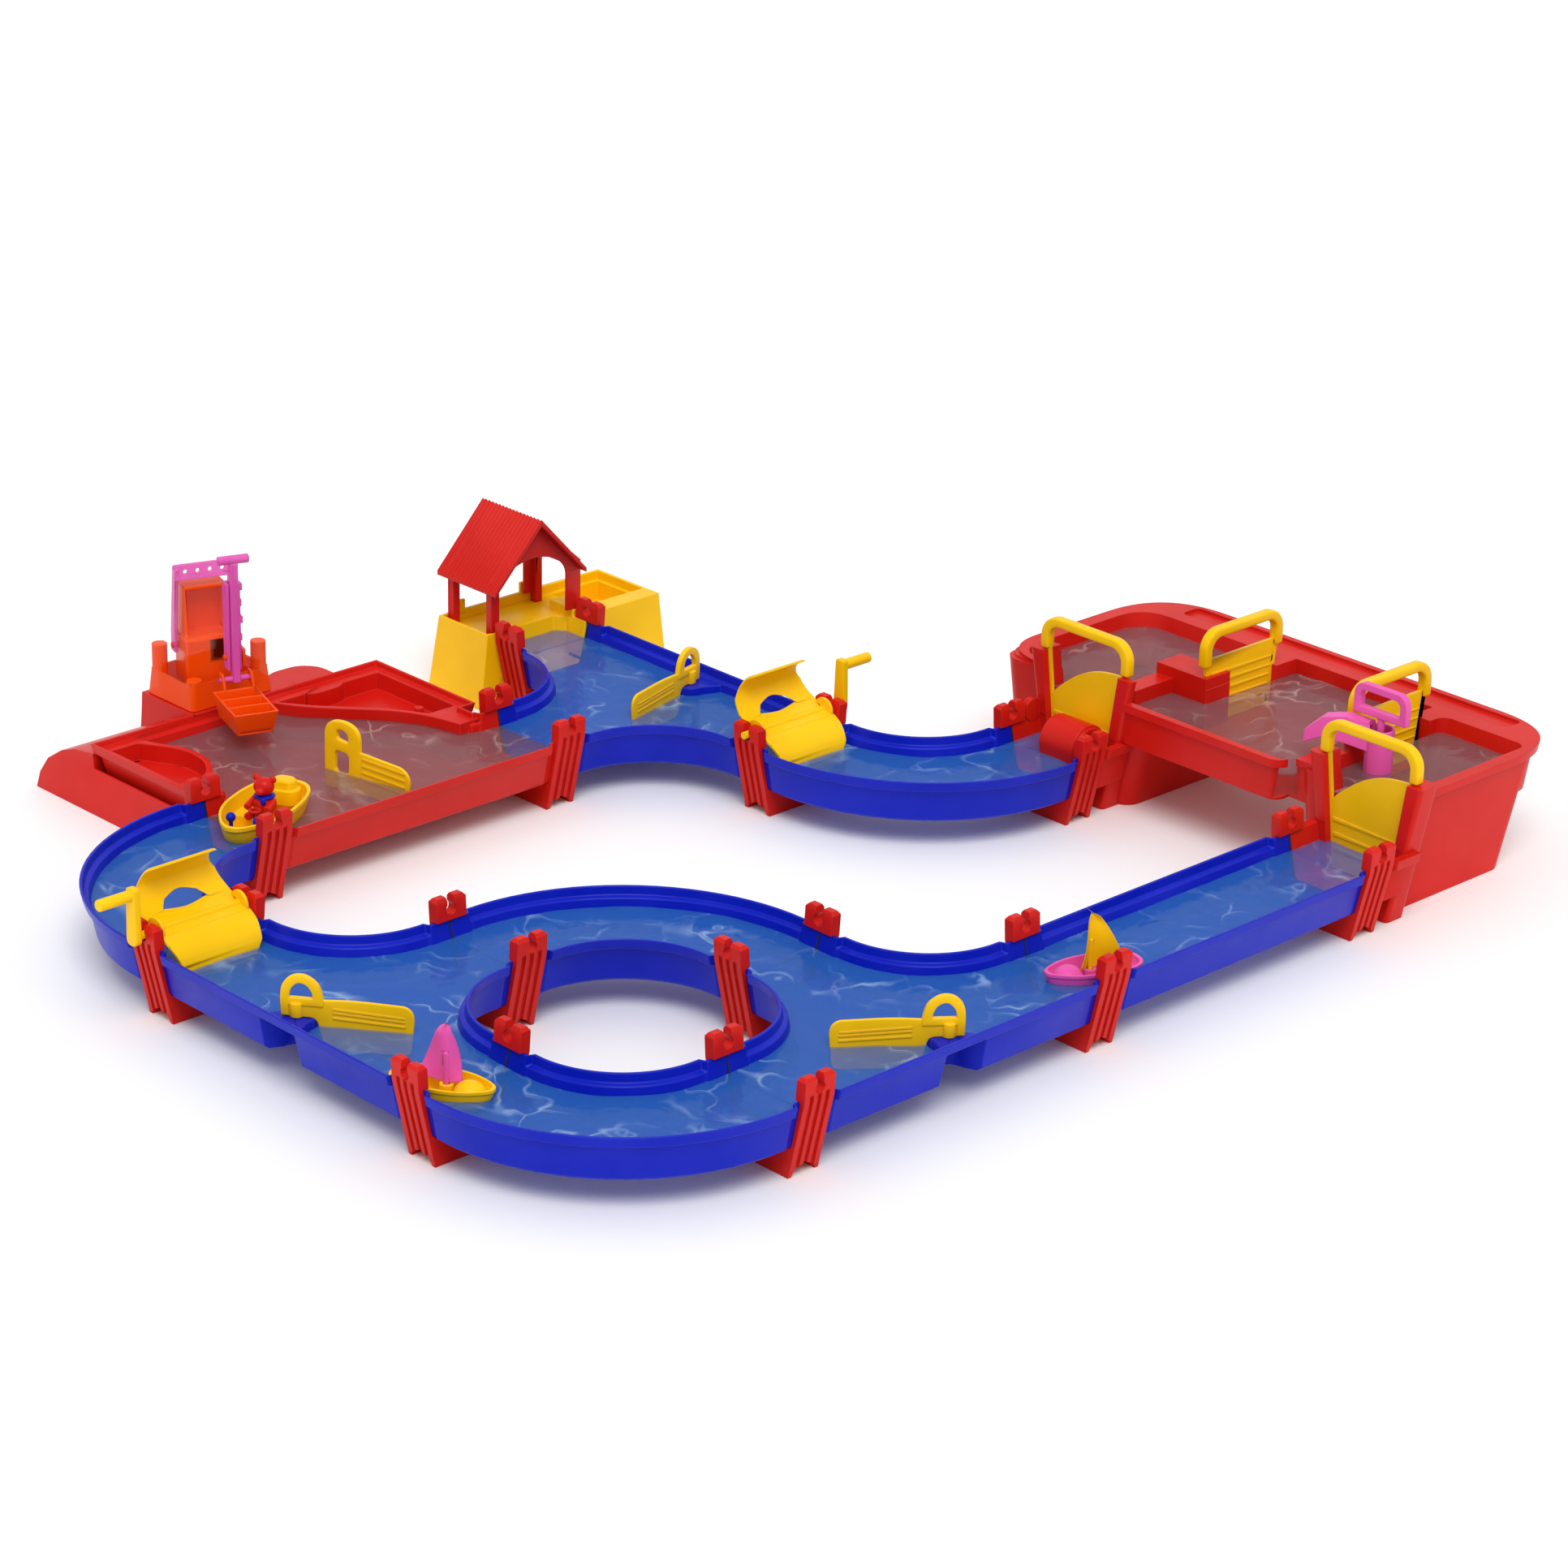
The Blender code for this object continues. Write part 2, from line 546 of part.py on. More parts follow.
def make_harbour_gate():
    """Tall plate gate on a pin in the harbour floor."""
    px, py = HARBOUR_PIVOT
    f = Matrix.Translation((px, py, 0)) @ Matrix.Rotation(math.radians(-77), 4, "Z")
    f = f @ Matrix(((1, 0, 0, 0), (0, 0, 1, 0), (0, 1, 0, 0), (0, 0, 0, 1)))
    plate = [(-0.026, 0.0475), (0.088, 0.0475), (0.098, 0.056), (0.100, 0.082), (0.092, 0.095),
             (0.026, 0.100), (0.026, 0.116), (0.018, 0.129), (0.002, 0.134), (-0.014, 0.130),
             (-0.024, 0.118)]
    body = slab(plate, f, -GATE_T / 2, GATE_T / 2)
    loop = [(-0.008, 0.113), (0.011, 0.109), (0.009, 0.117), (0.002, 0.123), (-0.007, 0.122)]
    slot = [(-0.011, 0.070), (0.009, 0.070), (0.011, 0.078), (0.010, 0.092), (0.004, 0.096), (-0.008, 0.095),
            (-0.012, 0.088)]
    cut(body, slab(loop, f, -0.02, 0.02), slab(slot, f, -0.02, 0.02))
    add(body, rod((px, py, 0.0466), (px, py, 0.066), 0.007, 10))
    add(body, rod((px, py, 0.0398), (px, py, 0.050), 0.0036, 10))
    return finish(body, "gate_harbour", YELLOW, parent=(px, py, 0.046))


def wheel_profile():
    """S-shaped section of the two paddles, in (along, up) about the axle."""
    up = [(0.014, 0.004), (0.028, 0.012), (0.039, 0.024), (0.043, 0.038), (0.036, 0.052), (0.021, 0.061)]
    spine = [(-u, -v) for u, v in up[::-1]] + [(0.0, 0.0)] + up
    half = 0.0016
    side = []
    for k, (u, v) in enumerate(spine):
        a = spine[max(k - 1, 0)]
        b = spine[min(k + 1, len(spine) - 1)]
        d = Vector((b[0] - a[0], b[1] - a[1])).normalized()
        side.append(((u - d.y * half, v + d.x * half), (u + d.y * half, v - d.x * half)))
    return [p for p, _ in side] + [q for _, q in side[::-1]]


def wheel_envelope(n=20):
    """Solid of revolution about Y that the paddles fill: wide at the axle, narrow at the tips."""
    outline = [(-0.0590, 0.001), (-0.0590, 0.016), (-0.0580, 0.030), (-0.0535, 0.050), (-0.0400, 0.0655),
               (0.0400, 0.0655), (0.0535, 0.050), (0.0580, 0.030), (0.0590, 0.016), (0.0590, 0.001)]
    turns = [2 * math.pi * k / n for k in range(n)]
    return loft([[(r * math.cos(a), y, r * math.sin(a)) for a in turns] for y, r in outline])


def make_wheel(name, centre, run, crank_side):
    """Paddle wheel whose axle lies in the slots of a clip, with a crank on one side."""
    place = seam_place(centre, run) @ Matrix.Translation((0, 0, SEAT_Z))
    f = Matrix(((1, 0, 0, 0), (0, 0, 1, 0), (0, 1, 0, 0), (0, 0, 0, 1)))
    body = slab(wheel_profile(), f, -0.062, 0.062)
    combine(body, [wheel_envelope()], "INTERSECT")
    s = crank_side
    arm_y = 0.0795
    add(body, rod((0, -0.078 * s, 0), (0, (arm_y + 0.002) * s, 0), 0.0046, 12))
    arm = [(-0.0085, -0.0085), (0.0085, -0.0085), (0.0068, 0.052), (0.0040, 0.0575), (-0.0040, 0.0575),
           (-0.0068, 0.052)]
    add(body, slab(arm, f, *sorted((arm_y * s, (arm_y + 0.009) * s))))
    add(body, rod((0, (arm_y + 0.004) * s, 0.0495), (0, (arm_y + 0.050) * s, 0.0495), 0.0066, 10))
    return finish(body, name, YELLOW, place=place, parent=(*centre, SEAT_Z))


def loop_outline(w, z0, z1, r, n=4):
    pts = [(-w, z0), (w, z0)]
    for cx, a in ((w - r, 0), (-w + r, 90)):
        for k in range(n + 1):
            t = math.radians(a + 90 * k / n)
            pts.append((cx + r * math.cos(t), z1 - r + r * math.sin(t)))
    return pts


def lock_half(z):
    """Half width of a lock gate's plate at height z."""
    return GATE_HALF - (POST_TOP - z) * LEAN


def make_lock_gate(name, centre, turn, z0, crest, handle_z):
    """Lifting gate: thin tapered plate in the guides, with a stout loop handle above the posts."""
    f = Matrix.Translation((*centre, 0)) @ Matrix.Rotation(math.radians(turn), 4, "Z")
    f = f @ Matrix(((1, 0, 0, 0), (0, 0, 1, 0), (0, 1, 0, 0), (0, 0, 0, 1)))
    plate = [(-lock_half(z0), z0), (lock_half(z0), z0)]
    plate += [(u * lock_half(z), z) for u, z in crest]
    body = slab(plate, f, -PLATE / 2, PLATE / 2)
    for side in (-1, 1):
        top = handle_z + 0.008
        stem = [(side * (lock_half(0.10) - 0.008), 0.10), (side * lock_half(0.10), 0.10),
                (side * lock_half(top), top), (side * (lock_half(top) - 0.008), top)]
        add(body, slab(stem, f, -PLATE / 2, PLATE / 2))
    w = GATE_HALF + 0.005
    loop = slab(loop_outline(w, handle_z, HANDLE_TOP, 0.026), f, -0.0065, 0.0065)
    cut(loop, slab(loop_outline(w - 0.011, handle_z - 0.03, HANDLE_TOP - 0.010, 0.017), f, -0.03, 0.03))
    add(body, loop)
    return finish(body, name, YELLOW, parent=(*centre, z0))


# ---------------------------------------------------------------- reservoir

POOL_X = (0.955, 1.258)
POOL_Y = (-0.266, 0.376)
GUIDE_X = 0.942          # plane of the two outlet gates
POST_TOP = 0.175         # top of the guide posts of the outlets
GATE_HALF = 0.0665       # half width of a gate plate at the post tops
LEAN = 0.13              # the guides close in downwards
LAP = 0.005              # depth of the guide grooves
HANDLE_TOP = 0.219
INNER_X = 1.110          # centre of the inner gates
INNER_Y = (-0.1095, 0.1215)
PLATE = 0.0044


def guide_cut(centre, turn, z0, z1, grow, t):
    """Tapered opening or groove for a lock gate."""
    f = Matrix.Translation((*centre, 0)) @ Matrix.Rotation(math.radians(turn), 4, "Z")
    f = f @ Matrix(((1, 0, 0, 0), (0, 0, 1, 0), (0, 1, 0, 0), (0, 0, 0, 1)))
    lo, hi = lock_half(z0) + grow, lock_half(z1) + grow
    return slab([(-lo, z0), (lo, z0), (hi, z1), (-hi, z1)], f, *t)


def make_reservoir():
    x0, x1 = POOL_X
    y0, y1 = POOL_Y
    far = 1.214
    body = taper((0.962, far - 0.003, y0 + 0.012, y1 - 0.010), (0.957, far, y0 + 0.006, y1 - 0.006),
                 POOL_FLOOR - WALL, POOL_RIM - 0.004, 0.030)
    add(body, taper((x0, x1, y0, y1), (x0 - 0.001, x1 + 0.001, y0 - 0.001, y1 + 0.001),
                    POOL_RIM - 0.010, POOL_RIM, 0.042))
    # bay that stands out between the outlets
    add(body, taper((0.938, 0.985, -0.088, 0.163), (0.9345, 0.985, -0.092, 0.167),
                    POOL_FLOOR - WALL, 0.142, 0.014))
    lip = (0.930, 0.990, -0.096, 0.1705)
    add(body, taper(lip, lip, POOL_RIM - 0.010, POOL_RIM, 0.018))
    for low, high in (((0.958, 1.168, -0.252, -0.118), (0.951, 1.206, -0.259, -0.104)),
                      ((0.958, 1.168, 0.158, 0.352), (0.951, 1.206, 0.124, 0.368))):
        add(body, taper(low, high, 0.0, POOL_RIM - 0.006, 0.022))
    # outlet towers in line with the two canals
    for y in (-MID, MID):
        run = GUIDE_X - 2 * PITCH - END
        near = with_pads(trace((2 * PITCH + END, y - WIDTH / 2), 0, [("S", run)]))[:3]
        far_side = with_pads(trace((GUIDE_X, y + WIDTH / 2), 180, [("S", run)]))[3:]
        near = near + [(Vector((0.952, y - WIDTH / 2)), near[0][1], 1.0)]
        far_side = [(Vector((0.952, y + WIDTH / 2)), far_side[0][1], 1.0)] + far_side[-3:]
        stub, hollow = canal_tools([near, far_side])
        bpy.data.objects.remove(hollow)
        add(body, stub)
        add(body, taper((0.9300, 0.962, y - 0.048, y + 0.048), (0.9300, 0.962, y - 0.083, y + 0.083),
                        0.0, POST_TOP, 0.006))
    # guide blocks of the inner gates
    add(body, box(1.038, 1.082, 0.1125, 0.192, 0.120, 0.160))
    add(body, box(1.0412, 1.072, -0.1275, -0.1015, 0.120, 0.160))
    # chambers
    tall = POST_TOP + 0.01
    floor = UNDER + WALL
    cut(body, taper((0.967, 1.164, -0.246, -0.128), (0.962, 1.204, -0.253, -0.1275), floor, tall, 0.014))
    deep = [(0.966, 0.192), (1.082, 0.192), (1.082, 0.146), (1.180, 0.146), (1.180, 0.348), (0.966, 0.348)]
    wide = [(0.962, 0.192), (1.082, 0.192), (1.082, 0.131), (1.206, 0.131), (1.206, 0.362), (0.962, 0.362)]
    cut(body, loft([[(x, y, z) for x, y in plan] for plan, z in ((deep, 0.080), (wide, tall))]))
    cut(body, taper((0.970, 1.160, 0.190, 0.340), (0.968, 1.175, 0.1905, 0.347), floor, 0.081, 0.010))
    shallow = [(0.940, -0.090), (0.952, -0.101), (1.206, -0.101), (1.206, 0.112), (1.038, 0.112),
               (1.038, 0.166), (0.952, 0.166), (0.940, 0.155)]
    cut(body, prism(shallow, POOL_FLOOR, tall))
    # sunk step along the far rim
    cut(body, taper((1.218, x1 - 0.008, y0 + 0.02, y1 - 0.02), (1.218, x1 - 0.006, y0 + 0.02, y1 - 0.02),
                    POOL_RIM - 0.004, tall, 0.008))
    # undersides left hollow
    cut(body, box(0.985, 1.150, -0.236, -0.136, -0.01, UNDER), box(0.985, 1.150, 0.180, 0.330, -0.01, UNDER))
    # outlets: the canal's section runs in, with guide grooves for the gates
    g = PLATE / 2 + CLEAR
    for y in (-MID, MID):
        near = [(Vector((2 * PITCH - 0.01, y - WIDTH / 2)), Vector((0, -1)), 0.0),
                (Vector((0.9305, y - WIDTH / 2)), Vector((0, -1)), 0.0)]
        back = [(Vector((0.9305, y + WIDTH / 2)), Vector((0, 1)), 0.0),
                (Vector((2 * PITCH - 0.01, y + WIDTH / 2)), Vector((0, 1)), 0.0)]
        cut(body, loft([wall_loop([near, back], floor, 0.004 + WALL, False),
                        wall_loop([near, back], floor + 0.004, WALL, False),
                        wall_loop([near, back], RIM + 0.003, WALL, False)]))
        cut(body, guide_cut((GUIDE_X, y), 90, floor, tall, -LAP, (-0.03, 0.0135)))
        cut(body, guide_cut((GUIDE_X, y), 90, floor, tall, CLEAR, (-g, g)))
    for y, left in ((INNER_Y[0], 1.072), (INNER_Y[1], 1.082)):
        cut(body, box(left, 1.168, y - 0.030, y + 0.030, POOL_FLOOR, tall))
        cut(body, guide_cut((INNER_X, y), 0, POOL_FLOOR, tall, CLEAR, (-g, g)))
    # round bollard beside the rear outlet
    add(body, rod((0.920, MID + 0.071, 0.100), (0.920, MID + 0.0615, 0.100), 0.015, 12))
    return finish(body, "reservoir", RED)


PUMP = (1.036, -0.157)


def make_pump():
    x, y = PUMP
    floor = UNDER + WALL
    body = rod((x, y, floor + CLEAR), (x, y, 0.180), 0.0170, 14)
    d = Vector((-0.34, 0.94, 0))
    n = Vector((0.94, 0.34, 0))
    outside = ((0.0, 0.0145, 0.152, 0.184), (0.040, 0.0135, 0.158, 0.190), (0.068, 0.0130, 0.160, 0.184),
               (0.090, 0.0125, 0.149, 0.164))
    inside = ((0.006, 0.0100, 0.1560, 0.178), (0.040, 0.0105, 0.1600, 0.185),
              (0.067, 0.0102, 0.1610, 0.179), (0.094, 0.0100, 0.1500, 0.160))
    shells = []
    for stations in (outside, inside):
        loops = []
        for s, w, lo, hi in stations:
            c = Vector((x, y, 0)) + d * s
            low, high = Vector((0, 0, lo)), Vector((0, 0, hi))
            loops.append([c - n * w + low, c + n * w + low, c + n * w * 0.7 + high, c - n * w * 0.7 + high])
        shells.append(loft(loops))
    hood, duct = shells
    add(body, hood)
    cut(body, rod((x, y, floor + 0.003), (x, y, 0.20), 0.0140, 14))
    cut(body, duct)
    cut(body, box(x - 0.006, x + 0.006, y - 0.03, y, floor + 0.003, 0.060))
    finish(body, "pump_body", PINK)

    piston = rod((x, y, 0.066), (x, y, 0.082), 0.0134, 14)
    add(piston, rod((x, y, 0.070), (x, y, 0.197), 0.0045, 10))
    f = Matrix.Translation((x, y, 0)) @ Matrix.Rotation(math.radians(90), 4, "Z")
    f = f @ Matrix(((1, 0, 0, 0), (0, 0, 1, 0), (0, 1, 0, 0), (0, 0, 0, 1)))
    ring = slab(loop_outline(0.0385, 0.1925, 0.2300, 0.014), f, -0.005, 0.005)
    cut(ring, slab(loop_outline(0.0295, 0.2010, 0.2215, 0.008), f, -0.02, 0.02))
    add(piston, ring)
    finish(piston, "pump_piston", PINK, parent=(x, y, 0.074))


# ---------------------------------------------------------------- crane

CRANE = (0.208, 1.000)
CRANE_TURN = -19         # the crane stands swivelled
DECK = 0.089
PIN_Z = 0.155
JIB_X = CRANE[0] + 0.016
JIB_Y = CRANE[1] - 0.060
HOOK_Z = 0.130


def make_crane():
    cx, cy = CRANE
    turn = Matrix.Translation((cx, cy, 0)) @ Matrix.Rotation(math.radians(CRANE_TURN), 4, "Z")
    turn = turn @ Matrix.Translation((-cx, -cy, 0))
    base = taper((0.153, 0.274, 0.953, 1.046), (0.156, 0.271, 0.956, 1.043), DECK + CLEAR, 0.122, 0.006)
    cut(base, taper((0.157, 0.270, 0.957, 1.042), (0.159, 0.268, 0.959, 1.040),
                    DECK + CLEAR + WALL, 0.14, 0.006))
    columns = ((0.165, 1.034, 0.154), (0.262, 1.034, 0.138), (0.165, 0.965, 0.126), (0.262, 0.965, 0.154))
    for x, y, top in columns:
        add(base, rod((x, y, DECK + 0.001), (x, y, top), 0.0095, 10))
    add(base, rod((cx, cy, DECK + 0.002), (cx, cy, 0.108), 0.022, 14))
    cut(base, rod((cx, cy, 0.094), (cx, cy, 0.115), 0.0144, 14))
    finish(base, "crane_base", ORANGE)

    # swivelling cab with a window bay above, and the bracket with the jib's pin
    cab = rod((cx, cy, 0.0945), (cx, cy, 0.120), 0.0140, 14)
    add(cab, taper((cx - 0.030, cx + 0.030, cy - 0.022, cy + 0.026),
                   (cx - 0.0301, cx + 0.0301, cy - 0.0221, cy + 0.0261), 0.1085, 0.166, 0.004))
    add(cab, taper((cx - 0.0285, cx + 0.0285, cy - 0.018, cy + 0.022),
                   (cx - 0.027, cx + 0.027, cy - 0.006, cy + 0.020), 0.164, 0.230, 0.003))
    cut(cab, box(cx - 0.024, cx + 0.024, cy - 0.018, cy + 0.016, 0.169, 0.226))
    cut(cab, box(cx - 0.021, cx + 0.021, cy - 0.030, cy + 0.000, 0.171, 0.222))
    add(cab, box(cx + 0.0262, cx + 0.0299, cy - 0.068, cy - 0.010, 0.1435, 0.1655))
    add(cab, rod((cx + 0.0275, JIB_Y, PIN_Z), (cx + 0.0040, JIB_Y, PIN_Z), 0.0036, 10))
    for side in (-1, 1):
        add(cab, rod((cx + side * 0.0270, cy + 0.010, 0.152), (cx + side * 0.0390, cy + 0.010, 0.152),
                     0.0036, 10))
    finish(cab, "crane_cab", ORANGE, place=turn, parent=(cx, cy, 0.0945))

    # lever frame round the cab
    side_view = Matrix(((0, 0, 1, 0), (1, 0, 0, 0), (0, 1, 0, 0), (0, 0, 0, 1)))
    leg = [(cy + 0.004, 0.144), (cy + 0.018, 0.144), (cy + 0.018, 0.166), (cy + 0.004, 0.256),
           (cy - 0.008, 0.254), (cy + 0.003, 0.176)]
    legs = []
    for side in (-1, 1):
        xs = sorted((cx + side * 0.0325, cx + side * 0.0370))
        part = slab(leg, side_view, *xs)
        hole = rod((xs[0] - 0.01, cy + 0.010, 0.152), (xs[1] + 0.01, cy + 0.010, 0.152), 0.0040, 10)
        legs.append(cut(part, hole))
    section = ((-0.0085, 0.240), (-0.0035, 0.240), (0.0020, 0.258), (-0.0030, 0.258))
    bar = loft([[(x, cy + y, z) for y, z in section] for x in (cx - 0.0369, cx + 0.0369)])
    add(legs[0], bar, legs[1])
    finish(legs[0], "crane_frame", PINK, place=turn, parent=turn @ Vector((cx, cy + 0.010, 0.152)))

    # jib: open channel on the pin; the rod with its T grip slides in it
    jx, jy = JIB_X, JIB_Y
    jib = box(jx - 0.0085, jx + 0.0085, jy - 0.009, jy + 0.009, 0.140, 0.250)
    cut(jib, box(jx - 0.0052, jx + 0.0052, jy - 0.0132, jy + 0.0044, 0.13, 0.26))
    cut(jib, rod((jx - 0.02, jy, PIN_Z), (jx + 0.02, jy, PIN_Z), 0.0040, 10))
    finish(jib, "crane_jib", PINK, place=turn, parent=turn @ Vector((jx, jy, PIN_Z)))
    ry = jy - 0.010
    lift = box(jx - 0.0046, jx + 0.0046, ry - 0.0055, ry + 0.0054, HOOK_Z - 0.004, 0.278)
    add(lift, rod((jx - 0.019, ry, 0.282), (jx + 0.019, ry, 0.282), 0.0055, 10))
    add(lift, rod((jx - 0.0215, ry, HOOK_Z), (jx + 0.0215, ry, HOOK_Z), 0.0034, 10))
    finish(lift, "crane_rod", PINK, place=turn, parent=turn @ Vector((jx, ry, PIN_Z)))

    hx, hy, top = jx, ry, HOOK_Z - 0.009
    corners = ((-1, -1), (1, -1), (1, 1), (-1, 1))
    tub = loft([[(hx - 0.006 + a * w, hy - 0.054 + b * d, z) for a, b in corners]
                for z, w, d in ((top - 0.029, 0.022, 0.036), (top, 0.0275, 0.0435))])
    for k in (-1, 0, 1):
        y = hy - 0.054 + k * 0.0275
        cut(tub, loft([[(hx - 0.006 + a * w, y + b * d, z) for a, b in corners]
                       for z, w, d in ((top - 0.0265, 0.019, 0.0092), (top + 0.001, 0.0250, 0.0125))]))
    for side in (-1, 1):
        xs = sorted((hx + side * 0.0165, hx + side * 0.0195))
        ear = slab([(hy - 0.0145, top - 0.004), (hy - 0.0085, top - 0.004), (hy + 0.0060, top + 0.006),
                    (hy + 0.0060, top + 0.018), (hy - 0.0060, top + 0.018), (hy - 0.0145, top + 0.002)],
                   side_view, *xs)
        add(tub, cut(ear, rod((xs[0] - 0.01, hy, HOOK_Z), (xs[1] + 0.01, hy, HOOK_Z), 0.0039, 10)))
    finish(tub, "crane_container", ORANGE, place=turn, parent=turn @ Vector((hx, hy, HOOK_Z)))


# ---------------------------------------------------------------- boats

def hull(length, beam, depth, z0, t=0.0022, deck=0.0, blocks=()):
    """Open hull, bow at +X, solid where the blocks are; returns the body in its own frame."""
    def section(z, grow, shrink):
        pts = []
        for k in range(16):
            a = 2 * math.pi * k / 16
            c, s = math.cos(a), math.sin(a)
            u = math.copysign(abs(c) ** 0.8, c) * (length / 2 - shrink) * grow
            v = math.copysign(abs(s) ** 0.75, s) * (beam / 2 - shrink) * grow
            v *= 1 - 0.45 * max(0.0, u / (length / 2)) ** 2
            pts.append((u, v, z))
        return pts
    outer = [section(z0, 0.62, 0), section(z0 + depth * 0.35, 0.84, 0), section(z0 + depth, 1.0, 0)]
    inner = [section(z0 + t + deck, 0.72, t), section(z0 + depth * 0.5 + deck * 0.5, 0.88, t),
             section(z0 + depth + 0.002, 1.0, t)]
    return cut(loft(outer), cut(loft(inner), *blocks))


def boat_place(centre, angle):
    return Matrix.Translation((*centre, 0)) @ Matrix.Rotation(math.radians(angle), 4, "Z")


def make_boats():
    z = 0.052
    place = boat_place(ROW, ROW_TURN)
    bench = box(-0.0203, 0.0061, -0.05, 0.05, z, z + 0.0221)
    body = hull(0.160, 0.084, 0.040, z, blocks=[bench])
    levels = ((z + 0.0203, 0.0201), (z + 0.0491, 0.0152))
    add(body, loft([[(0.0401, -w, h), (0.0702, -w * 0.7, h), (0.0702, w * 0.7, h), (0.0401, w, h)]
                    for h, w in levels]))
    finish(body, "boat_row", YELLOW, place=place, parent=(*ROW, z))

    sit = z + 0.0225
    turns = np.linspace(0, 2 * math.pi, 10, False)
    levels = ((sit, 0.0125), (sit + 0.016, 0.0130), (sit + 0.024, 0.0085), (sit + 0.030, 0.0125),
              (sit + 0.040, 0.0130), (sit + 0.048, 0.0080))
    fig = loft([[(-0.007 + r * math.cos(a), r * 1.15 * math.sin(a), h) for a in turns] for h, r in levels])
    for s in (-1, 1):
        add(fig, rod((-0.004, s * 0.012, sit + 0.017), (0.016, s * 0.016, sit + 0.010), 0.0042, 8))
        add(fig, rod((-0.010, s * 0.010, sit + 0.046), (-0.004, s * 0.010, sit + 0.046), 0.0050, 8))
    finish(fig, "figure", RED, place=place, parent=(*(place @ Vector((-0.007, 0, sit)))[:],))

    for name, sail, where, turn, color, sail_color in (
            ("boat_yellow", "sail_pink", SAIL_1, SAIL_1_TURN, YELLOW, PINK),
            ("boat_pink", "sail_yellow", SAIL_2, SAIL_2_TURN, PINK, YELLOW)):
        place = boat_place(where, turn)
        body = hull(0.115, 0.054, 0.030, z, deck=0.006)
        add(body, rod((0.004, 0, z + 0.003), (0.004, 0, z + 0.026), 0.0075, 10))
        cut(body, rod((0.004, 0, z + 0.012), (0.004, 0, z + 0.030), 0.0036, 10))
        finish(body, name, color, place=place, parent=(*where, z))
        loops = []
        for k, w in enumerate((0.034, 0.031, 0.024, 0.015, 0.004)):
            bulge = 0.024 * (k / 4) * (1 - k / 4)
            back, front, h = 0.003 - w, 0.004 + 0.35 * w, z + 0.028 + 0.016 * k
            loops.append([(back, bulge - 0.0016, h), (front, bulge - 0.0016, h),
                          (front, bulge + 0.0016, h), (back, bulge + 0.0016, h)])
        cloth = loft(loops)
        add(cloth, rod((0.004, 0, z + 0.0125), (0.004, 0, z + 0.050), 0.0032, 10))
        finish(cloth, sail, sail_color, place=place, parent=(*(place @ Vector((0.004, 0, z + 0.0125)))[:],))


ROW, ROW_TURN = (0.042, 0.672), 206
SAIL_1, SAIL_1_TURN = (-0.243, 0.002), -64
SAIL_2, SAIL_2_TURN = (0.460, -0.241), 160


# ---------------------------------------------------------------- the set

def main():
    for obj in list(bpy.data.objects):
        bpy.data.objects.remove(obj)
    make_curve("ring_back", (0, 0), 0)
    make_curve("ring_front", (0, 0), 2)
    make_curve("left_curve", (0, PITCH), 1)
    make_curve("back_curve", (2 * PITCH, PITCH), 2)
    make_tee("left_tee", 0, (0, 0))
    make_tee("right_tee", 90, (PITCH, 0))
    make_tee("back_tee", 180, (PITCH, 2 * PITCH))
    make_straight("right_straight", PITCH, -OUTER)
    make_harbour()
    make_dock()
    make_roof()
    make_reservoir()
    for name, centre, run in SEAMS:
        place = seam_place(centre, run)
        make_clip("clip_" + name, place)
        make_seal("seal_" + name, place)
    gx, gy = GATE_PIVOT
    make_swing_gate("gate_left", (gx, gy), -52)
    make_swing_gate("gate_right", (PITCH - gy, gx), 142)
    make_swing_gate("gate_back", (PITCH - gx, 2 * PITCH - gy), 193)
    make_harbour_gate()
    make_wheel("wheel_left", (-MID, PITCH), "Y", 1)
    make_wheel("wheel_back", (PITCH + MID, PITCH), "Y", -1)
    scoop = [(1.0, 0.174), (0.4, 0.168), (-0.1, 0.156), (-0.55, 0.138), (-0.85, 0.121), (-1.0, 0.101)]
    level = [(1.0, 0.176), (0.9, 0.180), (-0.9, 0.180), (-1.0, 0.176)]
    for name, y in (("lock_front", -MID), ("lock_rear", MID)):
        make_lock_gate(name, (GUIDE_X, y), -90, UNDER + WALL + 0.0006, scoop, POST_TOP + 0.0012)
    for name, y in (("lock_right", INNER_Y[0]), ("lock_left", INNER_Y[1])):
        make_lock_gate(name, (INNER_X, y), 0, POOL_FLOOR + 0.0006, level, 0.172)
    make_pump()
    make_crane()
    make_boats()
    for obj in bpy.data.objects:
        obj.location -= Vector((*CENTRE, 0))


main()
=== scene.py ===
"""Looks of the canal water play set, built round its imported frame.

The pieces are laid out on the canal grid, whose zero is the centre of the round canal, and moved
to the frame by ZERO. A piece stands for one CAD node and rides on that node's body. The water and
a few small fittings have no CAD node of their own and only ride.
"""

import json
import math

import bmesh
import bpy
import numpy as np
from mathutils import Matrix, Vector, noise

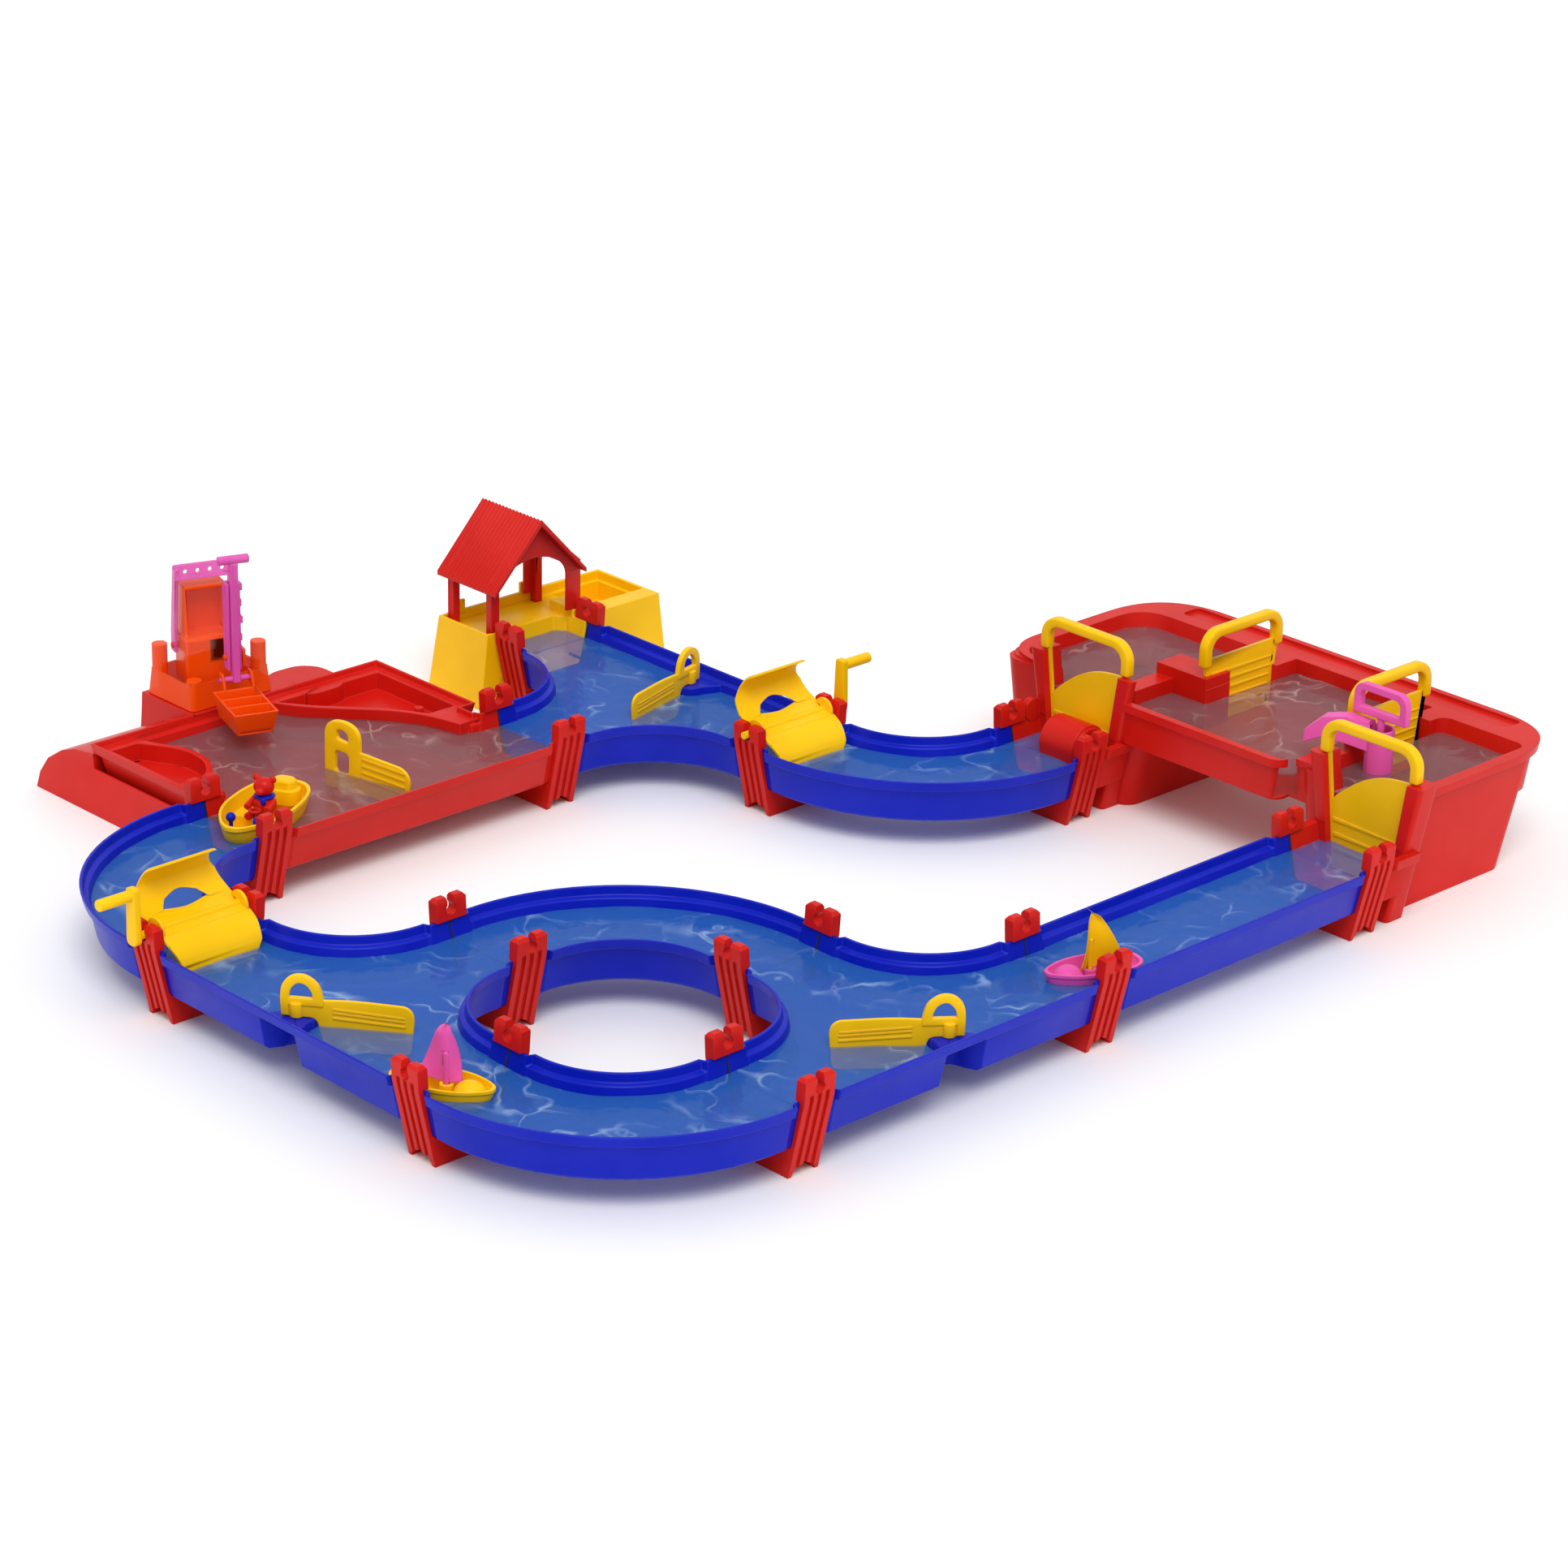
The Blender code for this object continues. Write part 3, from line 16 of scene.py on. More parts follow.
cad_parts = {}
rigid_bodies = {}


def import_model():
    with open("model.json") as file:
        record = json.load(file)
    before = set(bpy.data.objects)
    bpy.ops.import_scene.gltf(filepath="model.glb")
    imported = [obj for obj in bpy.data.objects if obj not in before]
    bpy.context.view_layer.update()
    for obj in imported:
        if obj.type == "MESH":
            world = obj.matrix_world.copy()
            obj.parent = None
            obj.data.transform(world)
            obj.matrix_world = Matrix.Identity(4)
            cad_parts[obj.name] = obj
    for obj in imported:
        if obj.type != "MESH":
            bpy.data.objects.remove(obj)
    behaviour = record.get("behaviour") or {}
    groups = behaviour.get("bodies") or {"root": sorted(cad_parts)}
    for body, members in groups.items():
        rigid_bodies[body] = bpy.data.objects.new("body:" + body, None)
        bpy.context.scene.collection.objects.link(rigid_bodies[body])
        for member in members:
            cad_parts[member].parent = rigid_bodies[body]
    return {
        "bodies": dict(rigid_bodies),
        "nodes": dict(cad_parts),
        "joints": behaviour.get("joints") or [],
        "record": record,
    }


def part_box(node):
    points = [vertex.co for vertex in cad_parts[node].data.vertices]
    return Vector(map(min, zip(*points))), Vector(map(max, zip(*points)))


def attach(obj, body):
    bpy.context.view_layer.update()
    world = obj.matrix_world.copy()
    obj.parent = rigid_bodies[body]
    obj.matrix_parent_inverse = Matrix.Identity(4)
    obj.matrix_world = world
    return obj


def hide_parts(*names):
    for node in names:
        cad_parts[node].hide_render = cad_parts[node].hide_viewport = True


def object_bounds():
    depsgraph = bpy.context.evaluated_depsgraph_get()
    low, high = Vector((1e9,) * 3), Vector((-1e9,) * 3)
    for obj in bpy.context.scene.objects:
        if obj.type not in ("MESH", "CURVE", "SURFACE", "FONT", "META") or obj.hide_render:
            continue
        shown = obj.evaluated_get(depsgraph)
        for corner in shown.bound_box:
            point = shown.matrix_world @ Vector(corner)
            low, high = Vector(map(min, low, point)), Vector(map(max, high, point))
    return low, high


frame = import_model()
CAD_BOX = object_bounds()

# frames of upright outlines, as (x, z) with the thickness along y and as (y, z) with it along x
SIDE_ON = Matrix(((1, 0, 0, 0), (0, 0, 1, 0), (0, 1, 0, 0), (0, 0, 0, 1)))
END_ON = Matrix(((0, 0, 1, 0), (1, 0, 0, 0), (0, 1, 0, 0), (0, 0, 0, 1)))

# driving dimensions of the canal system
INNER = 0.147            # radius of the small side wall of a quarter curve, at its rim
OUTER = 2 * INNER        # radius of the large side wall, at its rim
PITCH = INNER + OUTER    # length of every straight piece, and the grid of the set
WIDTH = OUTER - INNER    # width of a canal over its rims
MID = INNER + WIDTH / 2  # radius of the canal's centre line
PAD = 0.034              # straight end of every piece
FLAT = 0.026             # plain part of the end, where the clip sits
RIM = 0.091              # rim above the ground
UNDER = 0.034            # underside of a canal
WALL = 0.003
BAND = 0.079             # height of the step in the walls
STEP = 0.005             # the wall above the step stands out by this much
RECESS = 0.002           # the clip's seat is sunk by this much
DRAFT = 0.21             # slope of the walls, sideways per height
END = 0.001              # every piece stops this far from the seam plane
CLEAR = 0.0004           # gap between fitting pieces
ARC_STEP = 4             # degrees between the points of a curved wall
SAME_POINT = 1e-7
FOOT = 0.004             # width and height of the chamfer along a canal's underside
FLOOR = UNDER + WALL     # floor inside a canal
WATER_GAP = 0.0003        # the water keeps this far from the walls

CLIP_TOP = 0.118
CLIP_W = 0.042
SLOT_W = 0.013
SEAT_Z = 0.105           # axle height of a paddle wheel in the clip slots

QUAY_TOP = 0.084         # rim of the harbour's two sunk quays
TRAY = 0.062             # floor of the quays' trays
SHELF = 0.078            # top of the half-round gate shelf in a tee
NICHE_R = 0.02
NICHE_FLARE = 0.008      # the shelf's block is wider at its foot by this much
GATE_PIVOT = (-OUTER + 0.035, PITCH / 2)    # in a tee with its long wall at X = -OUTER
HARBOUR_PIVOT = (0.205, 0.728)
GATE_T = 0.004           # thickness of the swing gates

POOL_RIM = 0.146         # rim of the raised reservoir
POOL_FLOOR = 0.095

BLUE = (0.0004, 0.01, 0.46, 1)
RED = (0.62, 0.008, 0.003, 1)
YELLOW = (0.95, 0.55, 0.0, 1)
PINK = (0.8, 0.1, 0.42, 1)
ORANGE = (0.98, 0.075, 0.0, 1)
BLACK = (0.02, 0.02, 0.025, 1)
CLEAR_PINK = (0.82, 0.11, 0.5, 1)
CLEAR_ORANGE = (1.0, 0.085, 0.0, 1)


# ---------------------------------------------------------------- basics

def mesh_object(name, verts, faces):
    """New object with its faces pointing out."""
    bm = bmesh.new()
    made = [bm.verts.new(v) for v in verts]
    for face in faces:
        bm.faces.new([made[i] for i in face])
    bmesh.ops.recalc_face_normals(bm, faces=bm.faces)
    mesh = bpy.data.meshes.new(name)
    bm.to_mesh(mesh)
    bm.free()
    obj = bpy.data.objects.new(name, mesh)
    bpy.context.scene.collection.objects.link(obj)
    return obj


def loft(loops):
    """Closed solid through loops of equal length, with flat ends."""
    n = len(loops[0])
    verts = [p for loop in loops for p in loop]
    faces = [list(range(n - 1, -1, -1)), [(len(loops) - 1) * n + i for i in range(n)]]
    for k in range(len(loops) - 1):
        for i in range(n):
            j = (i + 1) % n
            faces.append([k * n + i, k * n + j, (k + 1) * n + j, (k + 1) * n + i])
    return mesh_object("tool", verts, faces)


def prism(outline, z0, z1):
    """Upright solid over an outline."""
    return loft([[(x, y, z) for x, y in outline] for z in (z0, z1)])


def box(x0, x1, y0, y1, z0, z1):
    return prism([(x0, y0), (x1, y0), (x1, y1), (x0, y1)], z0, z1)


def taper(low, high, z0, z1, r):
    """Rounded box whose plan goes from low to high, each (x0, x1, y0, y1)."""
    return loft([[(x, y, z) for x, y in rounded(*plan, r)] for plan, z in ((low, z0), (high, z1))])


def rounded(x0, x1, y0, y1, r):
    """Rectangle with round corners."""
    n = 9
    pts = []
    corners = ((x1 - r, y0 + r, -90), (x1 - r, y1 - r, 0), (x0 + r, y1 - r, 90), (x0 + r, y0 + r, 180))
    for cx, cy, a in corners:
        for k in range(n + 1):
            t = math.radians(a + 90 * k / n)
            pts.append((cx + r * math.cos(t), cy + r * math.sin(t)))
    return pts


def rod(a, b, r):
    """Round bar from a to b."""
    n = 28
    a, b = Vector(a), Vector(b)
    turn = (b - a).to_track_quat("Z", "Y").to_matrix()
    loops = []
    for end in (a, b):
        loops.append([end + turn @ Vector((r * math.cos(2 * math.pi * k / n),
                                           r * math.sin(2 * math.pi * k / n), 0)) for k in range(n)])
    return loft(loops)


def slab(outline, frame, t0, t1):
    """Outline in the frame's XY plane, from t0 to t1 along its Z."""
    return loft([[frame @ Vector((u, v, t)) for u, v in outline] for t in (t0, t1)])


def placed(centre, degrees):
    """Turned about Z and moved to the centre."""
    return Matrix.Translation((*centre, 0)) @ Matrix.Rotation(math.radians(degrees), 4, "Z")


def upright(centre, degrees):
    """Frame of an upright outline whose first direction is turned from +X by the angle."""
    return placed(centre, degrees) @ SIDE_ON


def arc(cx, cy, rx, ry, turns):
    """Points on an ellipse at the given angles."""
    return [(cx + rx * math.cos(t), cy + ry * math.sin(t)) for t in turns]


def fillet(points, r, n=6):
    """Closed outline with its corners rounded; r is one radius or one for each corner."""
    out = []
    for k, p in enumerate(points):
        p, a, b = Vector(p), Vector(points[k - 1]), Vector(points[(k + 1) % len(points)])
        size = r[k] if isinstance(r, (list, tuple)) else r
        start = p + (a - p).normalized() * min(size, (a - p).length * 0.49)
        end = p + (b - p).normalized() * min(size, (b - p).length * 0.49)
        for i in range(n + 1):
            t = i / n
            out.append(tuple(start * (1 - t) ** 2 + p * 2 * t * (1 - t) + end * t * t))
    return out


def curve(points, n=8):
    """Smooth line through the points."""
    out = []
    for k in range(len(points) - 1):
        a, b, c, d = (Vector(points[min(max(i, 0), len(points) - 1)]) for i in (k - 1, k, k + 1, k + 2))
        for i in range(n):
            t = i / n
            out.append(tuple(0.5 * (2 * b + (c - a) * t + (2 * a - 5 * b + 4 * c - d) * t * t
                                    + (3 * b - a - 3 * c + d) * t ** 3)))
    return out + [tuple(points[-1])]


def bar(frame, a, b, half, t0, t1):
    """Straight strip with round ends from a to b in the frame's plane."""
    a, b = Vector(a), Vector(b)
    d = (b - a).normalized() * half
    side = Vector((-d.y, d.x))
    ends = []
    for end, s in ((b, 1), (a, -1)):
        for k in range(9):
            t = math.radians(-90 + 22.5 * k)
            ends.append(tuple(end + s * (d * math.cos(t) + side * math.sin(t))))
    return slab(ends, frame, t0, t1)


def soften(obj, width):
    """Round every edge of a tool before it is joined to a piece."""
    mod = obj.modifiers.new("round", "BEVEL")
    mod.width = width
    mod.segments = 3
    mod.limit_method = "ANGLE"
    mod.angle_limit = math.radians(40)
    bake(obj)
    return obj


def bake(obj):
    """Make the modifiers' result the object's own mesh."""
    graph = bpy.context.evaluated_depsgraph_get()
    graph.update()
    mesh = bpy.data.meshes.new_from_object(obj.evaluated_get(graph))
    obj.modifiers.clear()
    obj.data = mesh


def combine(obj, tools, operation):
    """Boolean with every tool in turn; the tools are used up."""
    for tool in tools:
        mod = obj.modifiers.new("b", "BOOLEAN")
        mod.operation = operation
        mod.solver = "EXACT"
        mod.object = tool
        bake(obj)
        bpy.data.objects.remove(tool)
    return obj


def cut(obj, *tools):
    return combine(obj, tools, "DIFFERENCE")


def add(obj, *tools):
    return combine(obj, tools, "UNION")


# ---------------------------------------------------------------- materials

class Surface:
    """Principled material whose nodes' inputs are given as numbers or as other nodes' outputs."""

    def __init__(self, name):
        self.mat = bpy.data.materials.new(name)
        self.mat.use_nodes = True
        self.tree = self.mat.node_tree
        self.place = self.node("TexCoord").outputs["Object"]

    def node(self, kind, inputs=None, **settings):
        made = self.tree.nodes.new("ShaderNode" + kind)
        for key, value in settings.items():
            setattr(made, key, value)
        self.feed(made, inputs or {})
        return made

    def feed(self, node, inputs):
        for key, value in inputs.items():
            if isinstance(value, bpy.types.NodeSocket):
                self.tree.links.new(value, node.inputs[key])
            else:
                node.inputs[key].default_value = value

    def noise(self, scale, detail=2.0):
        """Noise texture in the piece's own coordinates."""
        return self.node("TexNoise", {"Vector": self.place, "Scale": scale, "Detail": detail})

    def bump(self, height, strength, distance, normal=None):
        inputs = {"Height": height, "Strength": strength, "Distance": distance}
        if normal is not None:
            inputs["Normal"] = normal
        return self.node("Bump", inputs).outputs["Normal"]

    def done(self, inputs):
        self.feed(self.tree.nodes["Principled BSDF"], inputs)
        return self.mat


def plastic(name, color, rough=0.3, grain=0.03, clear=1.0):
    """Moulded plastic: faint colour flow, uneven gloss, fine grain, and rounded edges with a pale painted
    highlight.
    """
    paint = Surface(name)
    spread = 0.05
    flow = paint.noise(9.0, 3.0).outputs["Fac"]
    tone = paint.node("ValToRGB", {"Fac": flow})
    low = [c * (1 - spread) for c in color[:3]]
    high = [min(1.0, c * (1 + spread) + 0.006) for c in color[:3]]
    for stop, position, shade in zip(tone.color_ramp.elements, (0.35, 0.65), (low, high)):
        stop.position = position
        stop.color = (*shade, 1)

    # the rounded normal leaves the flat one at the edges, and there the colour is painted pale as a highlight
    flat = paint.node("NewGeometry").outputs["Normal"]
    soft = paint.node("Bevel", {"Radius": 0.0012}, samples=3).outputs["Normal"]
    align = paint.node("VectorMath", {0: flat, 1: soft}, operation="DOT_PRODUCT").outputs["Value"]
    edge_highlight = paint.node("MapRange", {"Value": align, "From Min": 0.99, "From Max": 0.8, "To Max": 0.16})
    highlight_color = (*[min(1.0, 0.25 + 0.9 * c) for c in color[:3]], 1)
    # edges mixed towards the pale colour: a painted highlight
    highlighted_edges = paint.node("Mix", {"Factor": edge_highlight.outputs["Result"], "A": tone.outputs["Color"], "B": highlight_color},
                        data_type="RGBA")

    blotches = paint.noise(38.0, 4.0).outputs["Fac"]
    gloss = paint.node("MapRange", {"Value": blotches, "To Min": rough - 0.06, "To Max": rough + 0.12})
    grained = paint.bump(paint.noise(900.0).outputs["Fac"], grain, 0.0005, soft)
    sunk = paint.bump(paint.noise(16.0, 1.0).outputs["Fac"], 0.1, 0.002, grained)
    return paint.done({"Base Color": highlighted_edges.outputs["Result"], "Roughness": gloss.outputs["Result"],
                       "Normal": sunk, "Specular IOR Level": 0.16, "Alpha": clear})


def water_material(name, tint, light, alpha):
    """Clear rippled water: a thin tint with lighter lines of painted caustic light, and a glossy skin."""
    paint = Surface(name)
    warp = paint.noise(14.0).outputs["Color"]
    shift = paint.node("VectorMath", {0: warp, 1: (0.16, 0.16, 0.0), 2: paint.place},
                       operation="MULTIPLY_ADD").outputs["Vector"]
    cells = paint.node("TexVoronoi", {"Vector": shift, "Scale": 13.0}, feature="DISTANCE_TO_EDGE")
    caustic_wisps = paint.node("MapRange", {"Value": cells.outputs["Distance"], "From Min": 0.0, "From Max": 0.045,
                                    "To Min": 1.0, "To Max": 0.0})
    patches = paint.noise(13.0).outputs["Fac"]
    gate = paint.node("MapRange", {"Value": patches, "From Min": 0.46, "From Max": 0.66})
    lines = paint.node("Math", {0: caustic_wisps.outputs["Result"], 1: gate.outputs["Result"]},
                       operation="MULTIPLY").outputs["Value"]
    # the lighter colour along the lines is painted caustic light
    color = paint.node("Mix", {"A": (*tint, 1), "B": (*light, 1), "Factor": lines},
                       data_type="RGBA")
    cover = paint.node("MapRange", {"Value": lines, "To Min": alpha, "To Max": alpha + 0.12})
    swell = paint.node("TexNoise", {"Vector": shift, "Scale": 60.0, "Detail": 2.0})
    return paint.done({"Base Color": color.outputs["Result"], "Alpha": cover.outputs["Result"],
                       "Normal": paint.bump(swell.outputs["Fac"], 0.35, 0.002),
                       "Roughness": 0.06, "IOR": 1.33})


PAINT = {
    BLUE: ("blue_plastic", plastic("blue moulding", BLUE)),
    RED: ("red_plastic", plastic("red moulding", RED)),
    YELLOW: ("yellow_plastic", plastic("yellow moulding", YELLOW)),
    PINK: ("pink_plastic", plastic("pink moulding", PINK)),
    ORANGE: ("orange_plastic", plastic("orange moulding", ORANGE)),
    BLACK: ("black_rubber", plastic("black rubber", BLACK, 0.6, 0.2)),
    CLEAR_PINK: ("pink_plastic", plastic("clear pink moulding", CLEAR_PINK, 0.16, clear=0.8)),
    CLEAR_ORANGE: ("orange_plastic", plastic("clear orange moulding", CLEAR_ORANGE, 0.16, clear=0.84)),
}
BODY = {node: body for body, nodes in frame["record"]["behaviour"]["bodies"].items() for node in nodes}
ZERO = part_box("ring_back")[0] - Vector((END, END, UNDER))


def dress(obj, bevel):
    """Smooth shading with softly rounded edges."""
    obj.data.shade_smooth()
    obj.data.set_sharp_from_angle(angle=math.radians(35))
    if bevel:
        mod = obj.modifiers.new("edges", "BEVEL")
        mod.width = bevel
        mod.segments = 2
        mod.limit_method = "ANGLE"
        mod.angle_limit = math.radians(32)
        mod.use_clamp_overlap = False
        mod.miter_outer = "MITER_ARC"


WELD = 2e-6              # points nearer than this are one
LEVEL_ANGLE = 0.002      # faces that meet at less than this are one, in radians


def finish(obj, node, color, place=None, bevel=0.0008, name=None):
    """Clean the mesh, move it into the frame and let it stand for its CAD node.

    A piece with a name of its own only rides with the node's body.
    """
    bm = bmesh.new()
    bm.from_mesh(obj.data)
    bmesh.ops.remove_doubles(bm, verts=bm.verts, dist=WELD)
    bmesh.ops.dissolve_limit(bm, angle_limit=LEVEL_ANGLE, verts=bm.verts, edges=bm.edges)
    bmesh.ops.recalc_face_normals(bm, faces=bm.faces)
    bmesh.ops.triangulate(bm, faces=[f for f in bm.faces if len(f.verts) > 4])
    bm.to_mesh(obj.data)
    bm.free()
    if place is not None:
        obj.data.transform(place)
    obj.data.transform(Matrix.Translation(ZERO))
    obj.name = name or node + "_look"
    obj.data.name = obj.name
    slot, mat = PAINT[color]
    obj.data.materials.clear()
    obj.data.materials.append(mat)
    dress(obj, bevel)
    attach(obj, BODY[node])
    if not name:
        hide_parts(node)


# ---------------------------------------------------------------- canals

# name, centre and quarter turns of every curve and tee
CURVES = (("ring_back", (0, 0), 0), ("ring_front", (0, 0), 2), ("left_curve", (0, PITCH), 1),
          ("back_curve", (2 * PITCH, PITCH), 2))
TEES = (("left_tee", (0, 0), 0), ("right_tee", (PITCH, 0), 1), ("back_tee", (PITCH, 2 * PITCH), 2))


def trace(start, heading, parts):
    """Wall line: list of (point, outward normal, stepped) along straights, arcs and corners.

    The water is on the left of the heading. parts: ("S", length), ("A", radius, degrees), ("C", degrees).
    """
    p = Vector(start)
    a = math.radians(heading)
    line = [(p.copy(), a)]
    for part in parts:
        if part[0] == "S":
            p = p + Vector((math.cos(a), math.sin(a))) * part[1]
            line.append((p.copy(), a))
        elif part[0] == "C":
            a += math.radians(part[1])
            line.append((p.copy(), a))
        else:
            side = 1 if part[2] > 0 else -1
            n = max(2, round(abs(part[2]) / ARC_STEP))
            centre = p + Vector((-math.sin(a), math.cos(a))) * part[1] * side
            for _ in range(n):
                a += math.radians(part[2]) / n
                p = centre - Vector((-math.sin(a), math.cos(a))) * part[1] * side
                line.append((p.copy(), a))
    points = []
    for p, a in line:
        if points and (points[-1][0] - p).length < SAME_POINT:
            points[-1][2] = a
        else:
            points.append([p, a, a])
    out = []
    for p, a0, a1 in points:
        n0 = Vector((math.sin(a0), -math.cos(a0)))
        n1 = Vector((math.sin(a1), -math.cos(a1)))
        out.append((p, (n0 + n1) / (1 + n0.dot(n1)), 1.0))
    return out


def with_pads(line, flat=FLAT, ramp=0.003):
    """Insert the plain clip seat at both ends of a wall line."""
    for _ in range(2):
        (p0, n, _), (p1, _, _) = line[0], line[1]
        d = (p1 - p0).normalized()
        line = [(p0, n, 0.0), (p0 + d * flat, n, 0.0), (p0 + d * (flat + ramp), n, 1.0)] + line[1:]
        line = line[::-1]
    return line


def reach(line, extra):
    """The same wall line, longer by extra at both ends."""
    first, second = line[0], line[1]
    last, before = line[-1], line[-2]
    a = first[0] - (second[0] - first[0]).normalized() * extra
    b = last[0] + (last[0] - before[0]).normalized() * extra
    return [(a, first[1], first[2])] + line[1:-1] + [(b, last[1], last[2])]


def wall_loop(lines, z, inset, above):
    """Outline at height z through the wall lines, inset from the walls' outer side."""
    loop = []
    for line in lines:
        for p, n, stepped in line:
            back = (RIM - min(z, RIM)) * DRAFT + inset + (0 if above else STEP) * stepped
            back += (STEP + RECESS) * (1 - stepped)
            q = p - n * back
            loop.append((q.x, q.y, z))
    return loop


def canal_tools(lines):
    """Outer body and inner hollow of a canal piece with the given wall lines."""
    outside = [wall_loop(lines, UNDER, FOOT, False),
               wall_loop(lines, UNDER + FOOT, 0.0, False),
               wall_loop(lines, BAND - 0.002, 0.0, False),
               wall_loop(lines, BAND, 0.0, True),
               wall_loop(lines, RIM, 0.0, True)]
    long = [reach(line, 0.004) for line in lines]
    inside = [wall_loop(long, FLOOR, FOOT + WALL, False),
              wall_loop(long, FLOOR + FOOT, WALL, False),
              wall_loop(long, BAND, WALL, False),
              wall_loop(long, BAND + 0.002, WALL, True),
              wall_loop(long, RIM + 0.003, WALL, True)]
    return loft(outside), loft(inside)


def arc_walls():
    """Large and small wall of a quarter curve about the origin."""
    side = PAD - END
    outer = trace((OUTER, END), 90, [("S", side), ("A", OUTER - PAD, 90), ("S", side)])
    inner = trace((END, INNER), 0, [("S", side), ("A", INNER - PAD, -90), ("S", side)])
    return [with_pads(outer), with_pads(inner)]


def make_curve(name, centre, turn):
    """Quarter curve, turned by quarter turns about the centre of its arcs."""
    body, hollow = canal_tools(arc_walls())
    cut(body, hollow)
    finish(body, name, BLUE, place=placed(centre, 90 * turn))


def straight_lines(y, x0, x1):
    """Plain wall lines of a stretch along X, centred on y."""
    return [[(Vector((x, y + s * WIDTH / 2)), Vector((0, s)), 0.0) for x in ends]
            for s, ends in ((-1, (x0, x1)), (1, (x1, x0)))]


def straight_walls(x0, y0):
    """Walls of a straight canal along X from its near left corner."""
    near = trace((x0 + END, y0), 0, [("S", PITCH - 2 * END)])
    far = trace((x0 + PITCH - END, y0 + WIDTH), 180, [("S", PITCH - 2 * END)])
    return [with_pads(near), with_pads(far)]


def make_straight(name, x0, y0):
    body, hollow = canal_tools(straight_walls(x0, y0))
    finish(cut(body, hollow), name, BLUE)


def niche(radius, z0, z1, grow):
    """Rounded block round the gate's pivot, widening towards the straight wall of a tee."""
    px, py = GATE_PIVOT
    back = 0.03
    loops = []
    for z, r in ((z0, radius + grow), (z1, radius)):
        arc = [(px + r * math.sin(t), py + r * math.cos(t)) for t in np.radians(np.linspace(0, 180, 37))]
        wide = r + back
        outline = [(-OUTER - back, py + wide)] + arc + [(-OUTER - back, py - wide)]
        loops.append([(x, y, z) for x, y in outline])
    return loft(loops)


def tee_walls():
    """Two inner corners and the long outer wall of a tee."""
    side = PAD - END
    corner = [("S", side), ("A", INNER - PAD, -90), ("S", side)]
    return [with_pads(trace((-INNER, END), 90, corner)),
            with_pads(trace((-END, PITCH - INNER), 180, corner)),
            with_pads(trace((-OUTER, PITCH - END), 270, [("S", PITCH - 2 * END)]))]


def make_tee(name, shift, turn):
    """Tee with its long wall at X = -OUTER, and a half-round shelf in it for the swing gate."""
    body, hollow = canal_tools(tee_walls())
    cut(hollow, niche(NICHE_R, UNDER - 0.01, SHELF, NICHE_FLARE))
    cut(body, hollow)
    cut(body, niche(NICHE_R - WALL, UNDER - 0.01, SHELF - WALL, NICHE_FLARE))
    socket = rod((*GATE_PIVOT, SHELF - 0.01), (*GATE_PIVOT, SHELF + 0.003), 0.0042)
    cut(body, socket)
    finish(body, name, BLUE, place=placed(shift, 90 * turn))


def harbour_walls():
    """Wall lines of the basin, and the solids that stand in it."""
    y_in, y_out, back = PITCH + INNER, PITCH + OUTER, 0.949
    right = PITCH - 0.008
    front = with_pads(trace((END, y_in), 0, [("S", PITCH - 2 * END)]))
    jog = 0.03
    rest = trace((PITCH - END, y_out), 180,
                 [("S", jog), ("C", -90), ("S", 0.022), ("C", -90), ("S", jog - 0.007), ("C", 90),
                  ("S", back - y_out - 0.022), ("C", 90), ("S", right), ("C", 90),
                  ("S", back - y_out - 0.022), ("C", 90), ("S", jog), ("C", -90), ("S", 0.022), ("C", -90),
                  ("S", jog - END)])
    rest = with_pads(rest, 0.026, 0.0025)
    quay = [(0.245, back), (0.262, 0.918), (0.285, 0.885), (0.318, 0.85), (0.35, 0.815), (0.372, 0.775),
            (0.384, 0.728), (0.412, 0.728), (0.412, 0.76), (0.445, 0.76), (0.445, back)]
    bay = [(-0.02, back), (-0.02, 0.776), (0.04, 0.776), (0.072, 0.806), (0.089, 0.842), (0.088, 0.882),
           (0.072, 0.915), (0.058, back)]
    quay = curve(quay[:7], 5) + quay[7:]
    bay = bay[:2] + curve(bay[2:], 5)
    solids = [prism(outline, UNDER - 0.01, QUAY_TOP) for outline in (quay, bay)]
    return [front, rest], solids


